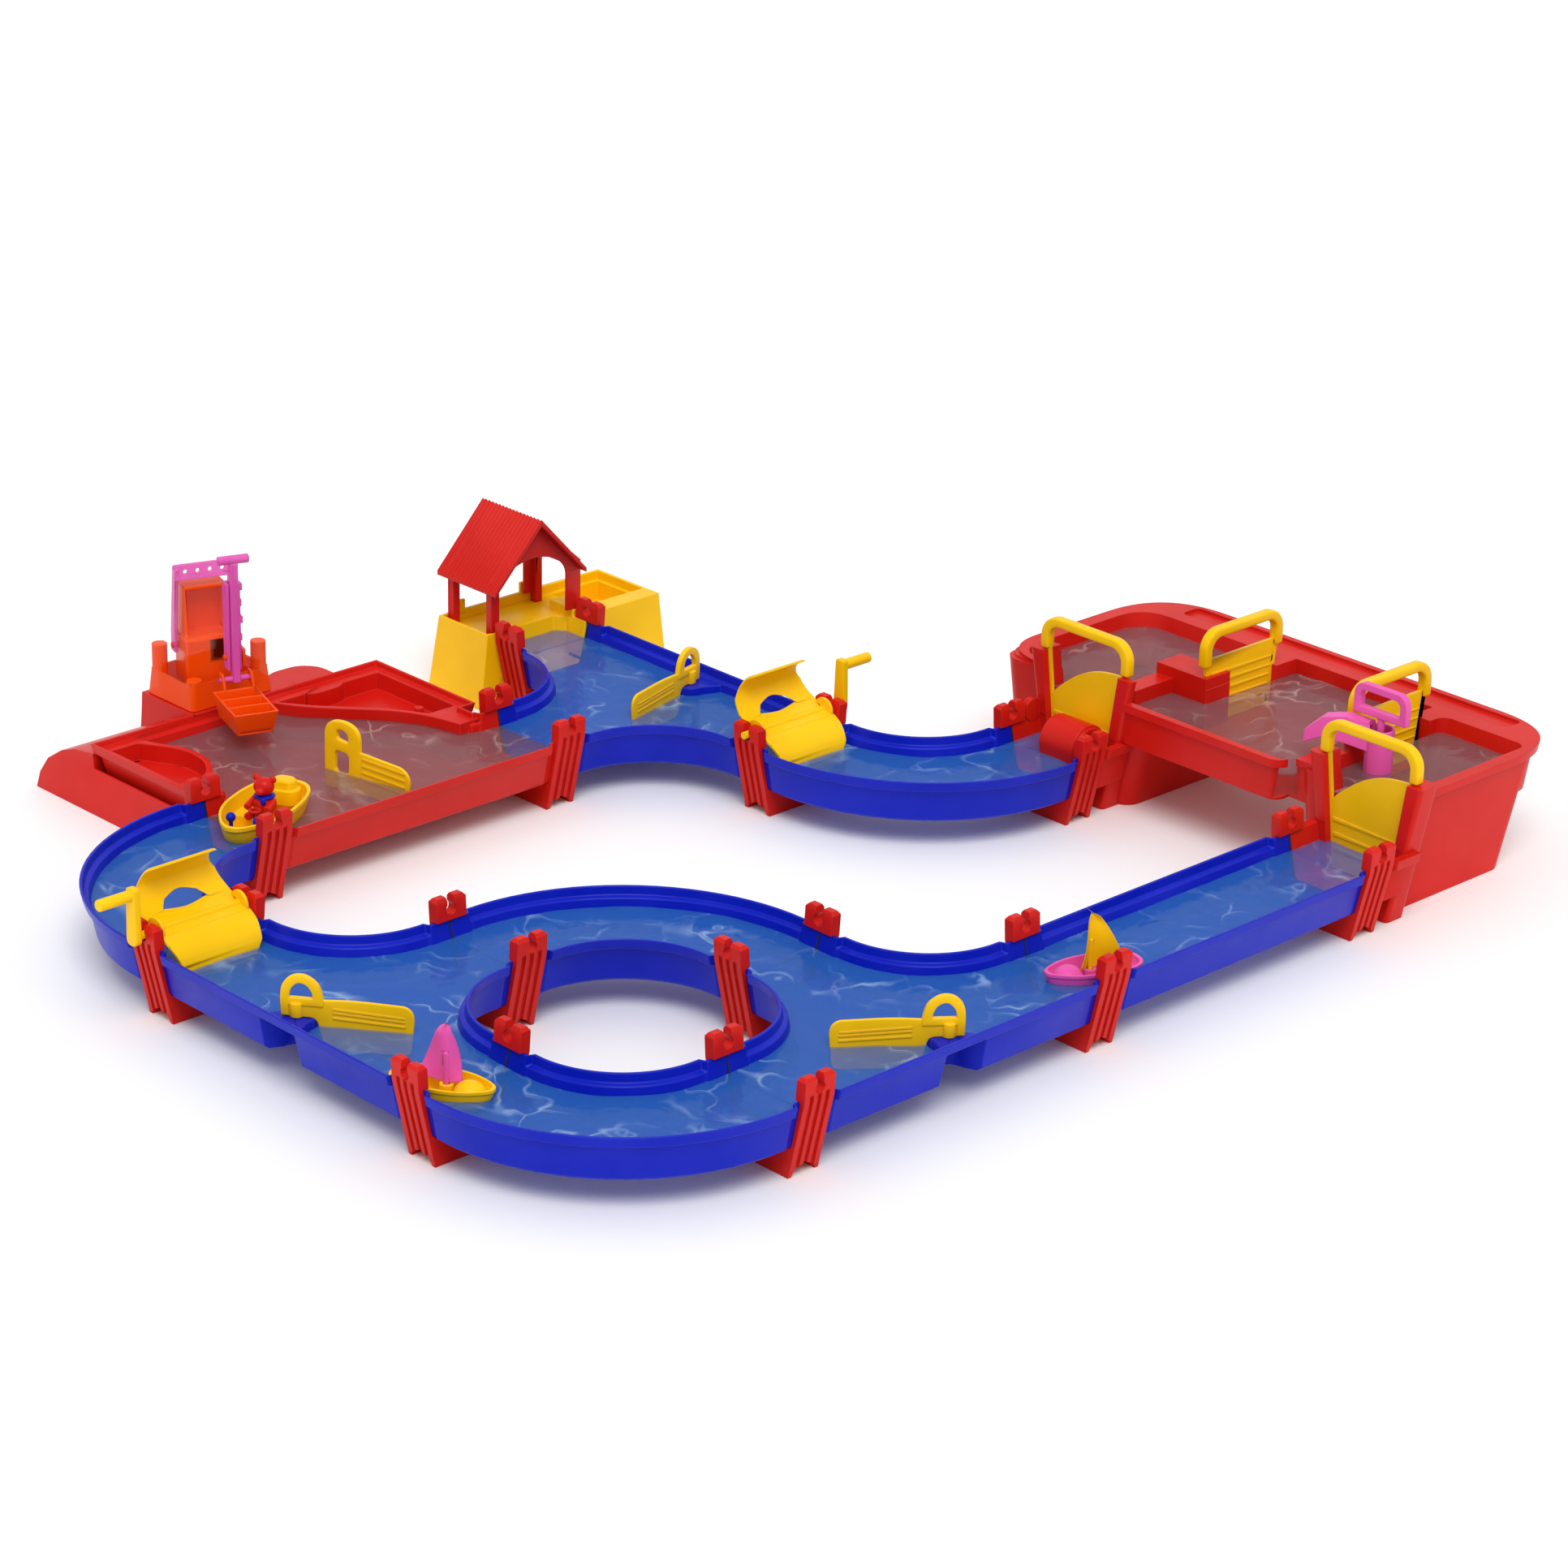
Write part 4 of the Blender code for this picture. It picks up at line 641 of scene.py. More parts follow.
def make_harbour():
    """Basin beside the canal, with two sunk quays, a slip ramp and the crane's platform."""
    walls, solids = harbour_walls()
    body, hollow = canal_tools(walls)
    cut(hollow, *solids)
    cut(body, hollow)
    sunk_quay = [(0.262, 0.928), (0.288, 0.892), (0.321, 0.857), (0.355, 0.818), (0.378, 0.78),
                 (0.418, 0.78), (0.418, 0.928)]
    sunk_bay = [(0.016, 0.929), (0.016, 0.796), (0.036, 0.784), (0.066, 0.81), (0.082, 0.843),
                (0.081, 0.88), (0.066, 0.909), (0.054, 0.929)]
    sunk_quay = fillet(curve(sunk_quay[:5], 5) + sunk_quay[5:], 0.003, 3)
    sunk_bay = fillet(sunk_bay[:2] + curve(sunk_bay[2:], 5), 0.003, 3)
    cut(body, prism(sunk_quay, TRAY, 0.1), prism(sunk_bay, TRAY, 0.1))
    add(body, rod((0.398, 0.823, 0.06), (0.398, 0.823, 0.074), 0.006))
    gate_post = rod((*HARBOUR_PIVOT, UNDER + 0.001), (*HARBOUR_PIVOT, 0.046), 0.014)
    add(body, gate_post)
    cut(body, rod((*HARBOUR_PIVOT, 0.0385), (*HARBOUR_PIVOT, 0.05), 0.0042))

    # skirt, ramp and platform behind the back wall
    ramp = [(0.945, 0.0), (1.066, 0.0), (1.058, 0.022), (1.04, 0.045), (1.012, 0.063), (0.985, 0.073),
            (0.945, 0.079)]
    add(body, slab(ramp, END_ON, 0.0005, 0.15))
    deck = [(0.945, 0.0), (1.06, 0.0), (1.052, 0.089), (0.945, 0.089)]
    add(body, slab(deck, END_ON, 0.1495, 0.3))
    add(body, taper((0.29, 0.382, 0.92, 1.02), (0.292, 0.376, 0.92, 1.012), 0.0, 0.084, 0.034))
    under_ramp = [(0.951, -0.01), (1.061, -0.01), (1.053, 0.02), (1.036, 0.041), (1.01, 0.059),
                  (0.984, 0.069), (0.951, 0.075)]
    cut(body, slab(under_ramp, END_ON, 0.004, 0.1465))
    under_deck = [(0.951, -0.01), (1.057, -0.01), (1.049, 0.0855), (0.951, 0.0855)]
    cut(body, slab(under_deck, END_ON, 0.153, 0.2965))
    cut(body, taper((0.3, 0.378, 0.952, 1.016), (0.3, 0.373, 0.952, 1.009), -0.01, 0.081, 0.028))
    add(body, box(0.0005, 0.004, 0.775, 0.952, 0.0, 0.06))
    finish(body, "harbour", RED)


def dock_walls(y):
    """Wall line of the landing stage's basin, which begins at y."""
    start = 2 * PITCH + END + 0.041 - y
    line = trace((PITCH + OUTER, y), 90, [("S", start), ("C", 45), ("S", 0.03), ("C", 45), ("S", 0.105),
                                          ("C", 45), ("S", 0.03), ("C", 45), ("S", start)])
    return [[(p, n, 0.0) for p, n, _ in line]]


def make_dock():
    """Covered landing stage at the end of the long canal."""
    x0, x1, y0, y1, top = 0.578, 0.848, 2 * PITCH + END, 1.003, 0.1
    left, right = PITCH + INNER, PITCH + OUTER
    slope = 0.01
    body = loft([[(x0 - slope, y0, 0.0), (x1 + slope + 0.004, y0, 0.0), (x1 + slope + 0.004, y1 + slope, 0.0),
                  (x0 - slope, y1 + slope, 0.0)],
                 [(x0, y0, top), (x1, y0, top), (x1, y1, top), (x0, y1, top)]])
    # room for the two clips in front of the tall sides
    for side, sign in ((left, -1), (right, 1)):
        lean = (RIM - UNDER) * DRAFT + 0.002
        x_top, x_low = side - sign * (STEP + RECESS), side - sign * (STEP + RECESS + lean)
        out = side + sign * (0.03 if sign < 0 else 0.016)
        x_in = x_low - sign * 0.005
        profile = [(x_in, -0.01), (x_in, UNDER), (x_low, UNDER + 0.006), (x_top, RIM),
                   (x_top, top + 0.02), (out, top + 0.02), (out, -0.01)]
        cut(body, slab(profile, SIDE_ON, y0 - 0.01, y0 + 0.024))
    cut(body, box(left - 0.03, right + 0.016, y0 - 0.01, y0 + 0.024, -0.01, UNDER))
    cut(body, box(left - 0.03, right + 0.016, y0 - 0.01, y0 + 0.024, RIM, top + 0.02))

    # water basin, continuing the canal's walls
    seated = dock_walls(y0 - 0.004)
    hollow = loft([wall_loop(seated, FLOOR, FOOT + WALL, False),
                   wall_loop(seated, FLOOR + FOOT, WALL, False),
                   wall_loop(seated, RIM + 0.03, WALL, False)])
    cut(body, hollow)
    # lower deck inside the parapet
    deck_z = 0.088
    near, back = y0 + 0.028, y1 - 0.004
    cut(body, prism([(x0 + 0.004, near), (right - 0.012, near), (right - 0.012, y0 + 0.072),
                     (right + 0.014, y0 + 0.072), (right + 0.014, near), (x1 - 0.004, near),
                     (x1 - 0.004, back), (x0 + 0.004, back)], deck_z, top + 0.01))
    cut(body, box(right + 0.026, x1 - 0.008, y0 + 0.032, y1 - 0.008, 0.062, top + 0.01))
    # parapet tabs along the back
    for x in (x0 + 0.018, right - 0.024):
        add(body, box(x, x + 0.022, y1 - 0.0045, y1 - 0.0005, top - 0.004, top + 0.014))
    # open from below
    y_low, y_high = y1 + 0.006, y1 - 0.003
    near = y0 + 0.03
    cut(body, taper((x0 - 0.005, left + 0.014, near, y_low), (x0 + 0.004, left + 0.002, near, y_high),
                    -0.01, 0.079, 0.003))
    cut(body, taper((right - 0.014, x1 + 0.008, near, y_low), (right - 0.009, x1 + 0.002, near, y_high),
                    -0.01, 0.058, 0.003))
    cut(body, box(left - 0.002, right + 0.002, y0 + 0.028, y1 + 0.004, -0.01, 0.03))
    half = POST / 2 + CLEAR
    for x, y in POST_FEET:
        cut(body, box(x - half, x + half, y - half, y + half, deck_z - 0.004, top + 0.03))
    finish(body, "dock", YELLOW)


POST = 0.011
ROOF_X = (0.58, 0.732)
ROOF_Y = (0.893, 1.008)
POST_FEET = [(x, y) for x in (0.5925, 0.7305) for y in (0.915, 0.99)]


def make_roof():
    """Ridge roof with fluted slopes and arched gables, on four posts."""
    x0, x1 = ROOF_X
    y0, y1 = ROOF_Y
    xm, eave, ridge, t = (x0 + x1) / 2, 0.153, 0.24, 0.003
    loops, waves = [], 17
    for k in range(waves * 4 + 1):
        y = y0 + (y1 - y0) * k / (waves * 4)
        h = (0.0, 0.0, -0.003, -0.003)[k % 4]
        profile = [(x0, eave), (x0, eave + 0.006 + h), (xm, ridge + h * 1.2), (x1, eave + 0.006 + h),
                   (x1, eave), (xm, ridge - 0.0085)]
        loops.append([(x, y, z) for x, z in profile])
    body = loft(loops)
    a, b = POST_FEET[0][0] - POST / 2, POST_FEET[-1][0] + POST / 2
    ya, yb = POST_FEET[0][1] - POST / 2, POST_FEET[-1][1] + POST / 2
    gable = [(a, 0.1), (a, 0.165), (xm, ridge - 0.004), (b, 0.165), (b, 0.1)]
    arch = arc(xm, 0.15, 0.056, 0.034, np.radians(np.linspace(0, 180, 31)))
    for y in (ya, yb - t):
        opening = slab([(xm - 0.056, 0.05), (xm + 0.056, 0.05)] + arch, SIDE_ON, y - 0.01, y + 0.02)
        add(body, cut(slab(gable, SIDE_ON, y, y + t), opening))
    w = POST / 2 - 0.0002
    for x, y in POST_FEET:
        add(body, box(x - w, x + w, y - w, y + w, 0.0845, 0.16))
    finish(body, "roof", RED, bevel=0.0004)


# ---------------------------------------------------------------- clips

def seat_profile(z_list, inset):
    """Half of the canal's section at a clip seat: distance from the centre line at each height."""
    return [(WIDTH / 2 - STEP - RECESS - (RIM - z) * DRAFT - inset, z) for z in z_list]


def make_clip(name, place):
    """One U-shaped saddle: two slotted uprights with three flutes each, and a foot plate."""
    out = [(0.052, 0.0), (0.073, RIM), (0.0745, CLIP_TOP - 0.004), (0.072, CLIP_TOP), (0.064, CLIP_TOP),
           (0.0615, CLIP_TOP - 0.004), (0.06, RIM + CLEAR)]
    seat = seat_profile((RIM + CLEAR, UNDER + 0.004, UNDER - CLEAR), -CLEAR)
    corner = (seat[2][0] - 0.0035, UNDER - CLEAR)
    half = out + [seat[0], seat[1], corner]
    left = [(-y, z) for y, z in half[::-1]]
    body = slab(half + left, END_ON, -CLIP_W / 2, CLIP_W / 2)
    w = SLOT_W / 2
    top = CLIP_TOP + 0.01
    eye = arc(0, SEAT_Z - 0.001, w * 1.05, w * 1.05, np.radians(np.linspace(45, -225, 21)))
    slot = [(w + 0.001, top), (w * 0.74, CLIP_TOP - 0.004)] + eye
    slot += [(-w * 0.74, CLIP_TOP - 0.004), (-w - 0.001, top)]
    arch = fillet([(-0.0165, -0.01), (-0.0165, 0.004), (-0.004, 0.012), (0.004, 0.012), (0.0165, 0.004),
                   (0.0165, -0.01)], 0.003)
    cut(body, slab(slot, SIDE_ON, -0.09, 0.09), slab(arch, SIDE_ON, -0.09, 0.09))
    for s in (-1, 1):
        peak = CLIP_TOP + 0.001
        nick = [(s * 0.0165, peak), (s * 0.022, CLIP_TOP - 0.0045), (s * 0.022, peak)]
        cut(body, slab(nick, SIDE_ON, -0.09, 0.09))
        flute = [(s * v, z) for v, z in ((0.0465, -0.01), (0.0672, 0.08), (0.069, 0.092), (0.073, 0.098),
                                         (0.092, 0.099), (0.092, -0.01))]
        for u in (-0.011, 0.0, 0.011):
            cut(body, slab(flute, END_ON, u - 0.0029, u + 0.0029))
    finish(body, name, RED, place=place, bevel=0)


SEAMS = [  # centre of the joint and the direction in which the canal runs through it
    ("left_top", (-MID, PITCH), "Y"), ("ring_left_back", (0, MID), "X"), ("ring_left_front", (-MID, 0), "Y"),
    ("ring_right_back", (MID, 0), "Y"), ("ring_right_front", (0, -MID), "X"),
    ("right_mid", (PITCH, -MID), "X"), ("right_end", (2 * PITCH, -MID), "X"),
    ("harbour_left", (0, PITCH + MID), "X"),
    ("harbour_right", (PITCH, PITCH + MID), "X"), ("dock", (PITCH + MID, 2 * PITCH), "Y"),
    ("back_mid", (PITCH + MID, PITCH), "Y"), ("back_end", (2 * PITCH, MID), "X")]


def seam_place(centre, run):
    """Frame of a clip or wheel in a joint between two pieces."""
    return placed(centre, 90 if run == "Y" else 0)


# ---------------------------------------------------------------- gates and wheels

def make_swing_gate(name, pivot, angle):
    """Gate blade with pressed ribs, on a pin in the shelf of a tee, with a stout loop over the rim."""
    f = upright(pivot, angle)
    z = SHELF + 0.0005
    blade = fillet([(0.0215, z), (0.03, 0.043), (0.122, 0.043), (0.126, 0.09), (0.118, 0.099),
                    (0.06, 0.101), (0.028, 0.099), (-0.016, 0.098), (-0.015, z)],
                   [0.008, 0.004, 0.009, 0.01, 0.006, 0.02, 0.003, 0.002, 0.004])
    body = soften(slab(blade, f, -GATE_T / 2, GATE_T / 2), 0.001)
    loop = [(0.029, 0.092), (0.0285, 0.101), (0.024, 0.115), (0.0145, 0.1235), (0.0045, 0.1262),
            (-0.006, 0.1235), (-0.014, 0.115), (-0.0165, 0.102), (-0.016, 0.08)]
    loop = curve(loop, 5) + [(-0.008, 0.08), (-0.008, 0.092)]
    ring = slab(loop, f, -0.0033, 0.0033)
    hole = [(-0.008, 0.1), (-0.0055, 0.1095), (0.0000, 0.116), (0.0055, 0.1175), (0.0125, 0.1145),
            (0.017, 0.1075), (0.0185, 0.1)]
    cut(ring, slab(fillet(curve(hole, 4), 0.0006, 2), f, -0.02, 0.02))
    low = [(-0.008, 0.1), (-0.004, 0.11), (0.013, 0.11), (0.0185, 0.1)]
    cut(body, slab(fillet(low, 0.001), f, -0.02, 0.02))
    add(body, soften(ring, 0.0012))
    side = GATE_T / 2 + 0.0009
    for z0, z1, end in ((0.09, 0.086, 0.114), (0.08, 0.0765, 0.115), (0.086, 0.082, 0.1145)):
        add(body, bar(f, (0.04, z0), (end, z1), 0.0011, -side, side))
    add(body, soften(rod((*pivot, z), (*pivot, 0.0945), 0.0072), 0.0008))
    add(body, rod((*pivot, SHELF - 0.0015), (*pivot, z + 0.002), 0.0036))
    finish(body, name, YELLOW, bevel=0)


def make_harbour_gate():
    """Tall plate gate with long ribs, on a pin in the harbour floor."""
    px, py = HARBOUR_PIVOT
    f = upright(HARBOUR_PIVOT, -77)
    plate = fillet([(0.02, 0.0475), (0.096, 0.0475), (0.101, 0.084), (0.09, 0.0955), (0.02, 0.101)],
                   [0.002, 0.01, 0.01, 0.008, 0.002])
    body = soften(slab(plate, f, -GATE_T / 2, GATE_T / 2), 0.001)
    tall = fillet([(-0.026, 0.0475), (0.026, 0.0475), (0.0265, 0.124), (0.012, 0.1345), (-0.012, 0.1345),
                   (-0.0255, 0.124)], [0.005, 0.003, 0.012, 0.012, 0.012, 0.012])
    column = slab(tall, f, -0.0032, 0.0032)
    loop = fillet([(-0.0075, 0.111), (0.0105, 0.108), (0.0095, 0.12), (0.000, 0.1245),
                   (-0.0075, 0.122)], 0.004)
    slot = fillet([(-0.011, 0.068), (0.01, 0.068), (0.011, 0.095), (-0.01, 0.097)], 0.007)
    cut(column, slab(loop, f, -0.02, 0.02), slab(slot, f, -0.02, 0.02))
    add(body, soften(column, 0.0012))
    side = GATE_T / 2 + 0.0008
    for k in range(4):
        z = 0.0905 - 0.0085 * k
        add(body, bar(f, (0.031, z + 0.003), (0.092, z - 0.001), 0.0014, -side, side))
    add(body, rod((px, py, 0.0466), (px, py, 0.066), 0.007))
    add(body, rod((px, py, 0.0398), (px, py, 0.05), 0.0036))
    finish(body, "gate_harbour", YELLOW, bevel=0)


def wheel_profile():
    """S-shaped section of the two paddles, in (along, up) about the axle."""
    up = curve([(0.014, 0.004), (0.028, 0.012), (0.039, 0.024), (0.043, 0.038), (0.036, 0.052),
                (0.021, 0.061)], 6)
    spine = [(-u, -v) for u, v in up[::-1]] + [(0.0, 0.0)] + up
    half = 0.0016
    side = []
    for k, (u, v) in enumerate(spine):
        a = spine[max(k - 1, 0)]
        b = spine[min(k + 1, len(spine) - 1)]
        d = Vector((b[0] - a[0], b[1] - a[1])).normalized()
        side.append(((u - d.y * half, v + d.x * half), (u + d.y * half, v - d.x * half)))
    return [p for p, _ in side] + [q for _, q in side[::-1]]


def wheel_envelope():
    """Solid of revolution about Y that the paddles fill: wide at the axle, narrow at the tips."""
    outline = [(-0.059, 0.001), (-0.059, 0.016), (-0.058, 0.03), (-0.0535, 0.05), (-0.04, 0.0655),
               (0.04, 0.0655), (0.0535, 0.05), (0.058, 0.03), (0.059, 0.016), (0.059, 0.001)]
    turns = [2 * math.pi * k / 72 for k in range(72)]
    return loft([[(r * math.cos(a), y, r * math.sin(a)) for a in turns] for y, r in outline])


def make_wheel(name, centre, run, crank_side):
    """Paddle wheel whose axle lies in the slots of a clip, with a crank on one side."""
    place = seam_place(centre, run) @ Matrix.Translation((0, 0, SEAT_Z))
    body = slab(wheel_profile(), SIDE_ON, -0.062, 0.062)
    combine(body, [wheel_envelope()], "INTERSECT")
    lens = curve([(-0.031, 0.0085), (0.0, 0.006), (0.031, 0.0085)], 8)
    lens += curve([(0.021, 0.0165), (0.0, 0.0215), (-0.021, 0.0165)], 8)
    cut(body, slab(lens, END_ON, 0.004, 0.06))
    s = crank_side
    arm_y = 0.0795
    add(body, rod((0, -0.078 * s, 0), (0, (arm_y + 0.002) * s, 0), 0.0046))
    for y in (-0.0555, 0.0555):
        add(body, soften(rod((0, y - 0.0018, 0), (0, y + 0.0018, 0), 0.015), 0.0008))
    arm = fillet([(-0.009, -0.009), (0.009, -0.009), (0.0068, 0.058), (-0.0068, 0.058)],
                 [0.0085, 0.0085, 0.004, 0.004])
    add(body, soften(slab(arm, SIDE_ON, *sorted((arm_y * s, (arm_y + 0.009) * s))), 0.0015))
    add(body, soften(rod((0, (arm_y + 0.004) * s, 0.0495), (0, (arm_y + 0.05) * s, 0.0495), 0.0066), 0.002))
    finish(body, name, YELLOW, place=place, bevel=0.0004)


def loop_outline(w, z0, z1, r):
    """Handle outline: straight below, with two round corners at the top."""
    n = 10
    pts = [(-w, z0), (w, z0)]
    for cx, a in ((w - r, 0), (-w + r, 90)):
        for k in range(n + 1):
            t = math.radians(a + 90 * k / n)
            pts.append((cx + r * math.cos(t), z1 - r + r * math.sin(t)))
    return pts


def lock_half(z):
    """Half width of a lock gate's plate at height z."""
    return GATE_HALF - (POST_TOP - z) * LEAN


def make_lock_gate(name, centre, turn, z0, crest, handle_z, ribs):
    """Lifting gate: ribbed tapered plate in the guides, with a stout loop handle above the posts."""
    f = upright(centre, turn)
    plate = [(-lock_half(z0), z0), (lock_half(z0), z0)]
    plate += [(u * lock_half(z), z) for u, z in crest]
    body = slab(plate, f, -PLATE / 2, PLATE / 2)
    for z in ribs:
        w = lock_half(z) - 0.009
        add(body, slab([(-w, z), (w, z), (w, z + 0.0012), (-w, z + 0.0044)], f, -PLATE / 2 - 0.0012,
                       PLATE / 2 + 0.0012))
    for side in (-1, 1):
        top = handle_z + 0.008
        stem = [(side * (lock_half(0.1) - 0.008), 0.1), (side * lock_half(0.1), 0.1),
                (side * lock_half(top), top), (side * (lock_half(top) - 0.008), top)]
        add(body, slab(stem, f, -PLATE / 2, PLATE / 2))
    w = GATE_HALF + 0.005
    loop = slab(loop_outline(w, handle_z, HANDLE_TOP, 0.026), f, -0.0065, 0.0065)
    cut(loop, slab(loop_outline(w - 0.0125, handle_z - 0.03, HANDLE_TOP - 0.0118, 0.016), f, -0.03, 0.03))
    add(body, soften(loop, 0.0028))
    finish(body, name, YELLOW, bevel=0)


# ---------------------------------------------------------------- reservoir

POOL_X = (0.955, 1.258)
POOL_Y = (-0.266, 0.376)
GUIDE_X = 0.942          # plane of the two outlet gates
POST_TOP = 0.175         # top of the guide posts of the outlets
GATE_HALF = 0.0665       # half width of a gate plate at the post tops
LEAN = 0.13              # the guides close in downwards
LAP = 0.005              # depth of the guide grooves
HANDLE_TOP = 0.219
INNER_X = 1.11          # centre of the inner gates
INNER_Y = (-0.1095, 0.1215)
PLATE = 0.0044


def guide_cut(centre, turn, z0, z1, grow, t):
    """Tapered opening or groove for a lock gate."""
    f = upright(centre, turn)
    lo, hi = lock_half(z0) + grow, lock_half(z1) + grow
    return slab([(-lo, z0), (lo, z0), (hi, z1), (-hi, z1)], f, *t)


def make_reservoir():
    """Raised basin: two deep chambers, a middle pool with a bay, and two outlets with guides."""
    x0, x1 = POOL_X
    y0, y1 = POOL_Y
    far = 1.214              # outer side of the pools' far wall, below the wide rim
    body = taper((0.962, far - 0.003, y0 + 0.012, y1 - 0.01), (0.957, far, y0 + 0.006, y1 - 0.006),
                 POOL_FLOOR - WALL, POOL_RIM - 0.004, 0.03)
    loops = []
    for g, z in ((0.0, POOL_RIM - 0.01), (0.001, POOL_RIM)):
        plan = [(x0 - g, y0 - g), (x1 + g, y0 - g), (x1 + g, y1 + g), (x0 - g, y1 + g)]
        loops.append([(x, y, z) for x, y in fillet(plan, [0.055, 0.105, 0.105, 0.07], 16)])
    add(body, loft(loops))
    # bay that stands out between the outlets
    add(body, taper((0.938, 0.985, -0.088, 0.163), (0.9345, 0.985, -0.092, 0.167),
                    POOL_FLOOR - WALL, 0.142, 0.014))
    lip = (0.93, 0.99, -0.096, 0.1705)
    add(body, taper(lip, lip, POOL_RIM - 0.01, POOL_RIM, 0.018))
    for low, high in (((0.958, 1.168, -0.252, -0.118), (0.951, 1.206, -0.259, -0.104)),
                      ((0.958, 1.168, 0.158, 0.352), (0.951, 1.206, 0.124, 0.368))):
        add(body, taper(low, high, 0.0, POOL_RIM - 0.006, 0.022))
    # outlet towers in line with the two canals
    for y in (-MID, MID):
        run = GUIDE_X - 2 * PITCH - END
        near = with_pads(trace((2 * PITCH + END, y - WIDTH / 2), 0, [("S", run)]))[:3]
        back = with_pads(trace((GUIDE_X, y + WIDTH / 2), 180, [("S", run)]))[3:]
        near = near + [(Vector((0.952, y - WIDTH / 2)), near[0][1], 1.0)]
        back = [(Vector((0.952, y + WIDTH / 2)), back[0][1], 1.0)] + back[-3:]
        stub, hollow = canal_tools([near, back])
        bpy.data.objects.remove(hollow)
        add(body, stub)
        add(body, taper((0.93, 0.962, y - 0.048, y + 0.048), (0.93, 0.962, y - 0.083, y + 0.083),
                        0.0, POST_TOP, 0.006))
    # guide blocks of the inner gates
    for x_near, x_far, y_near, y_far in ((1.038, 1.082, 0.1125, 0.192), (1.0412, 1.072, -0.1275, -0.1015)):
        add(body, box(x_near, x_far, y_near, y_far, 0.12, 0.16))
    # chambers
    tall = POST_TOP + 0.01
    cut(body, taper((0.967, 1.164, -0.246, -0.128), (0.962, 1.204, -0.253, -0.1275), FLOOR, tall, 0.014))
    deep = [(0.966, 0.192), (1.082, 0.192), (1.082, 0.146), (1.18, 0.146), (1.18, 0.348), (0.966, 0.348)]
    wide = [(0.962, 0.192), (1.082, 0.192), (1.082, 0.131), (1.206, 0.131), (1.206, 0.362), (0.962, 0.362)]
    soft = [0.002, 0.002, 0.003, 0.01, 0.045, 0.045]
    cut(body, loft([[(x, y, z) for x, y in fillet(plan, soft)] for plan, z in ((deep, 0.08), (wide, tall))]))
    cut(body, taper((0.97, 1.16, 0.19, 0.34), (0.968, 1.175, 0.1905, 0.347), FLOOR, 0.081, 0.01))
    shallow = [(0.94, -0.09), (0.952, -0.101), (1.206, -0.101), (1.206, 0.112), (1.038, 0.112),
               (1.038, 0.166), (0.952, 0.166), (0.94, 0.155)]
    cut(body, prism(shallow, POOL_FLOOR, tall))
    # sunk step along the far rim
    cut(body, taper((1.218, x1 - 0.008, y0 + 0.065, y1 - 0.065), (1.218, x1 - 0.006, y0 + 0.065, y1 - 0.065),
                    POOL_RIM - 0.004, tall, 0.008))
    # undersides left hollow
    for near, back in ((-0.236, -0.136), (0.18, 0.33)):
        cut(body, box(0.985, 1.15, near, back, -0.01, UNDER))
    # outlets: the canal's section runs in, with guide grooves for the gates
    g = PLATE / 2 + CLEAR    # half width of a groove
    for y in (-MID, MID):
        section = straight_lines(y, 2 * PITCH - 0.01, 0.9305)
        cut(body, loft([wall_loop(section, FLOOR, FOOT + WALL, False),
                        wall_loop(section, FLOOR + FOOT, WALL, False),
                        wall_loop(section, RIM + 0.003, WALL, False)]))
        cut(body, guide_cut((GUIDE_X, y), 90, FLOOR, tall, -LAP, (-0.03, 0.0135)))
        cut(body, guide_cut((GUIDE_X, y), 90, FLOOR, tall, CLEAR, (-g, g)))
    for y, left in ((INNER_Y[0], 1.072), (INNER_Y[1], 1.082)):
        cut(body, box(left, 1.168, y - 0.03, y + 0.03, POOL_FLOOR, tall))
        cut(body, guide_cut((INNER_X, y), 0, POOL_FLOOR, tall, CLEAR, (-g, g)))
    # round bollard beside the rear outlet
    add(body, rod((0.92, MID + 0.071, 0.1), (0.92, MID + 0.0615, 0.1), 0.015))
    finish(body, "reservoir", RED, bevel=0)


PUMP = (1.036, -0.157)


def make_chute():
    """Rounded chute under the rear outlet gate."""
    x, z, r = 0.908, 0.083, 0.03
    low = FLOOR + 0.0003
    top = arc(x, z, r, r, np.radians(np.linspace(0, 180, 25)))
    drum = slab(top + [(x - 0.02, low), (x + 0.03, low)], SIDE_ON, MID - 0.04, MID + 0.014)
    round_end = rod((x, MID - 0.0435, z), (x, MID - 0.038, z), 0.027)
    add(drum, round_end)
    finish(drum, "reservoir", RED, bevel=0.0012, name="chute_rear")


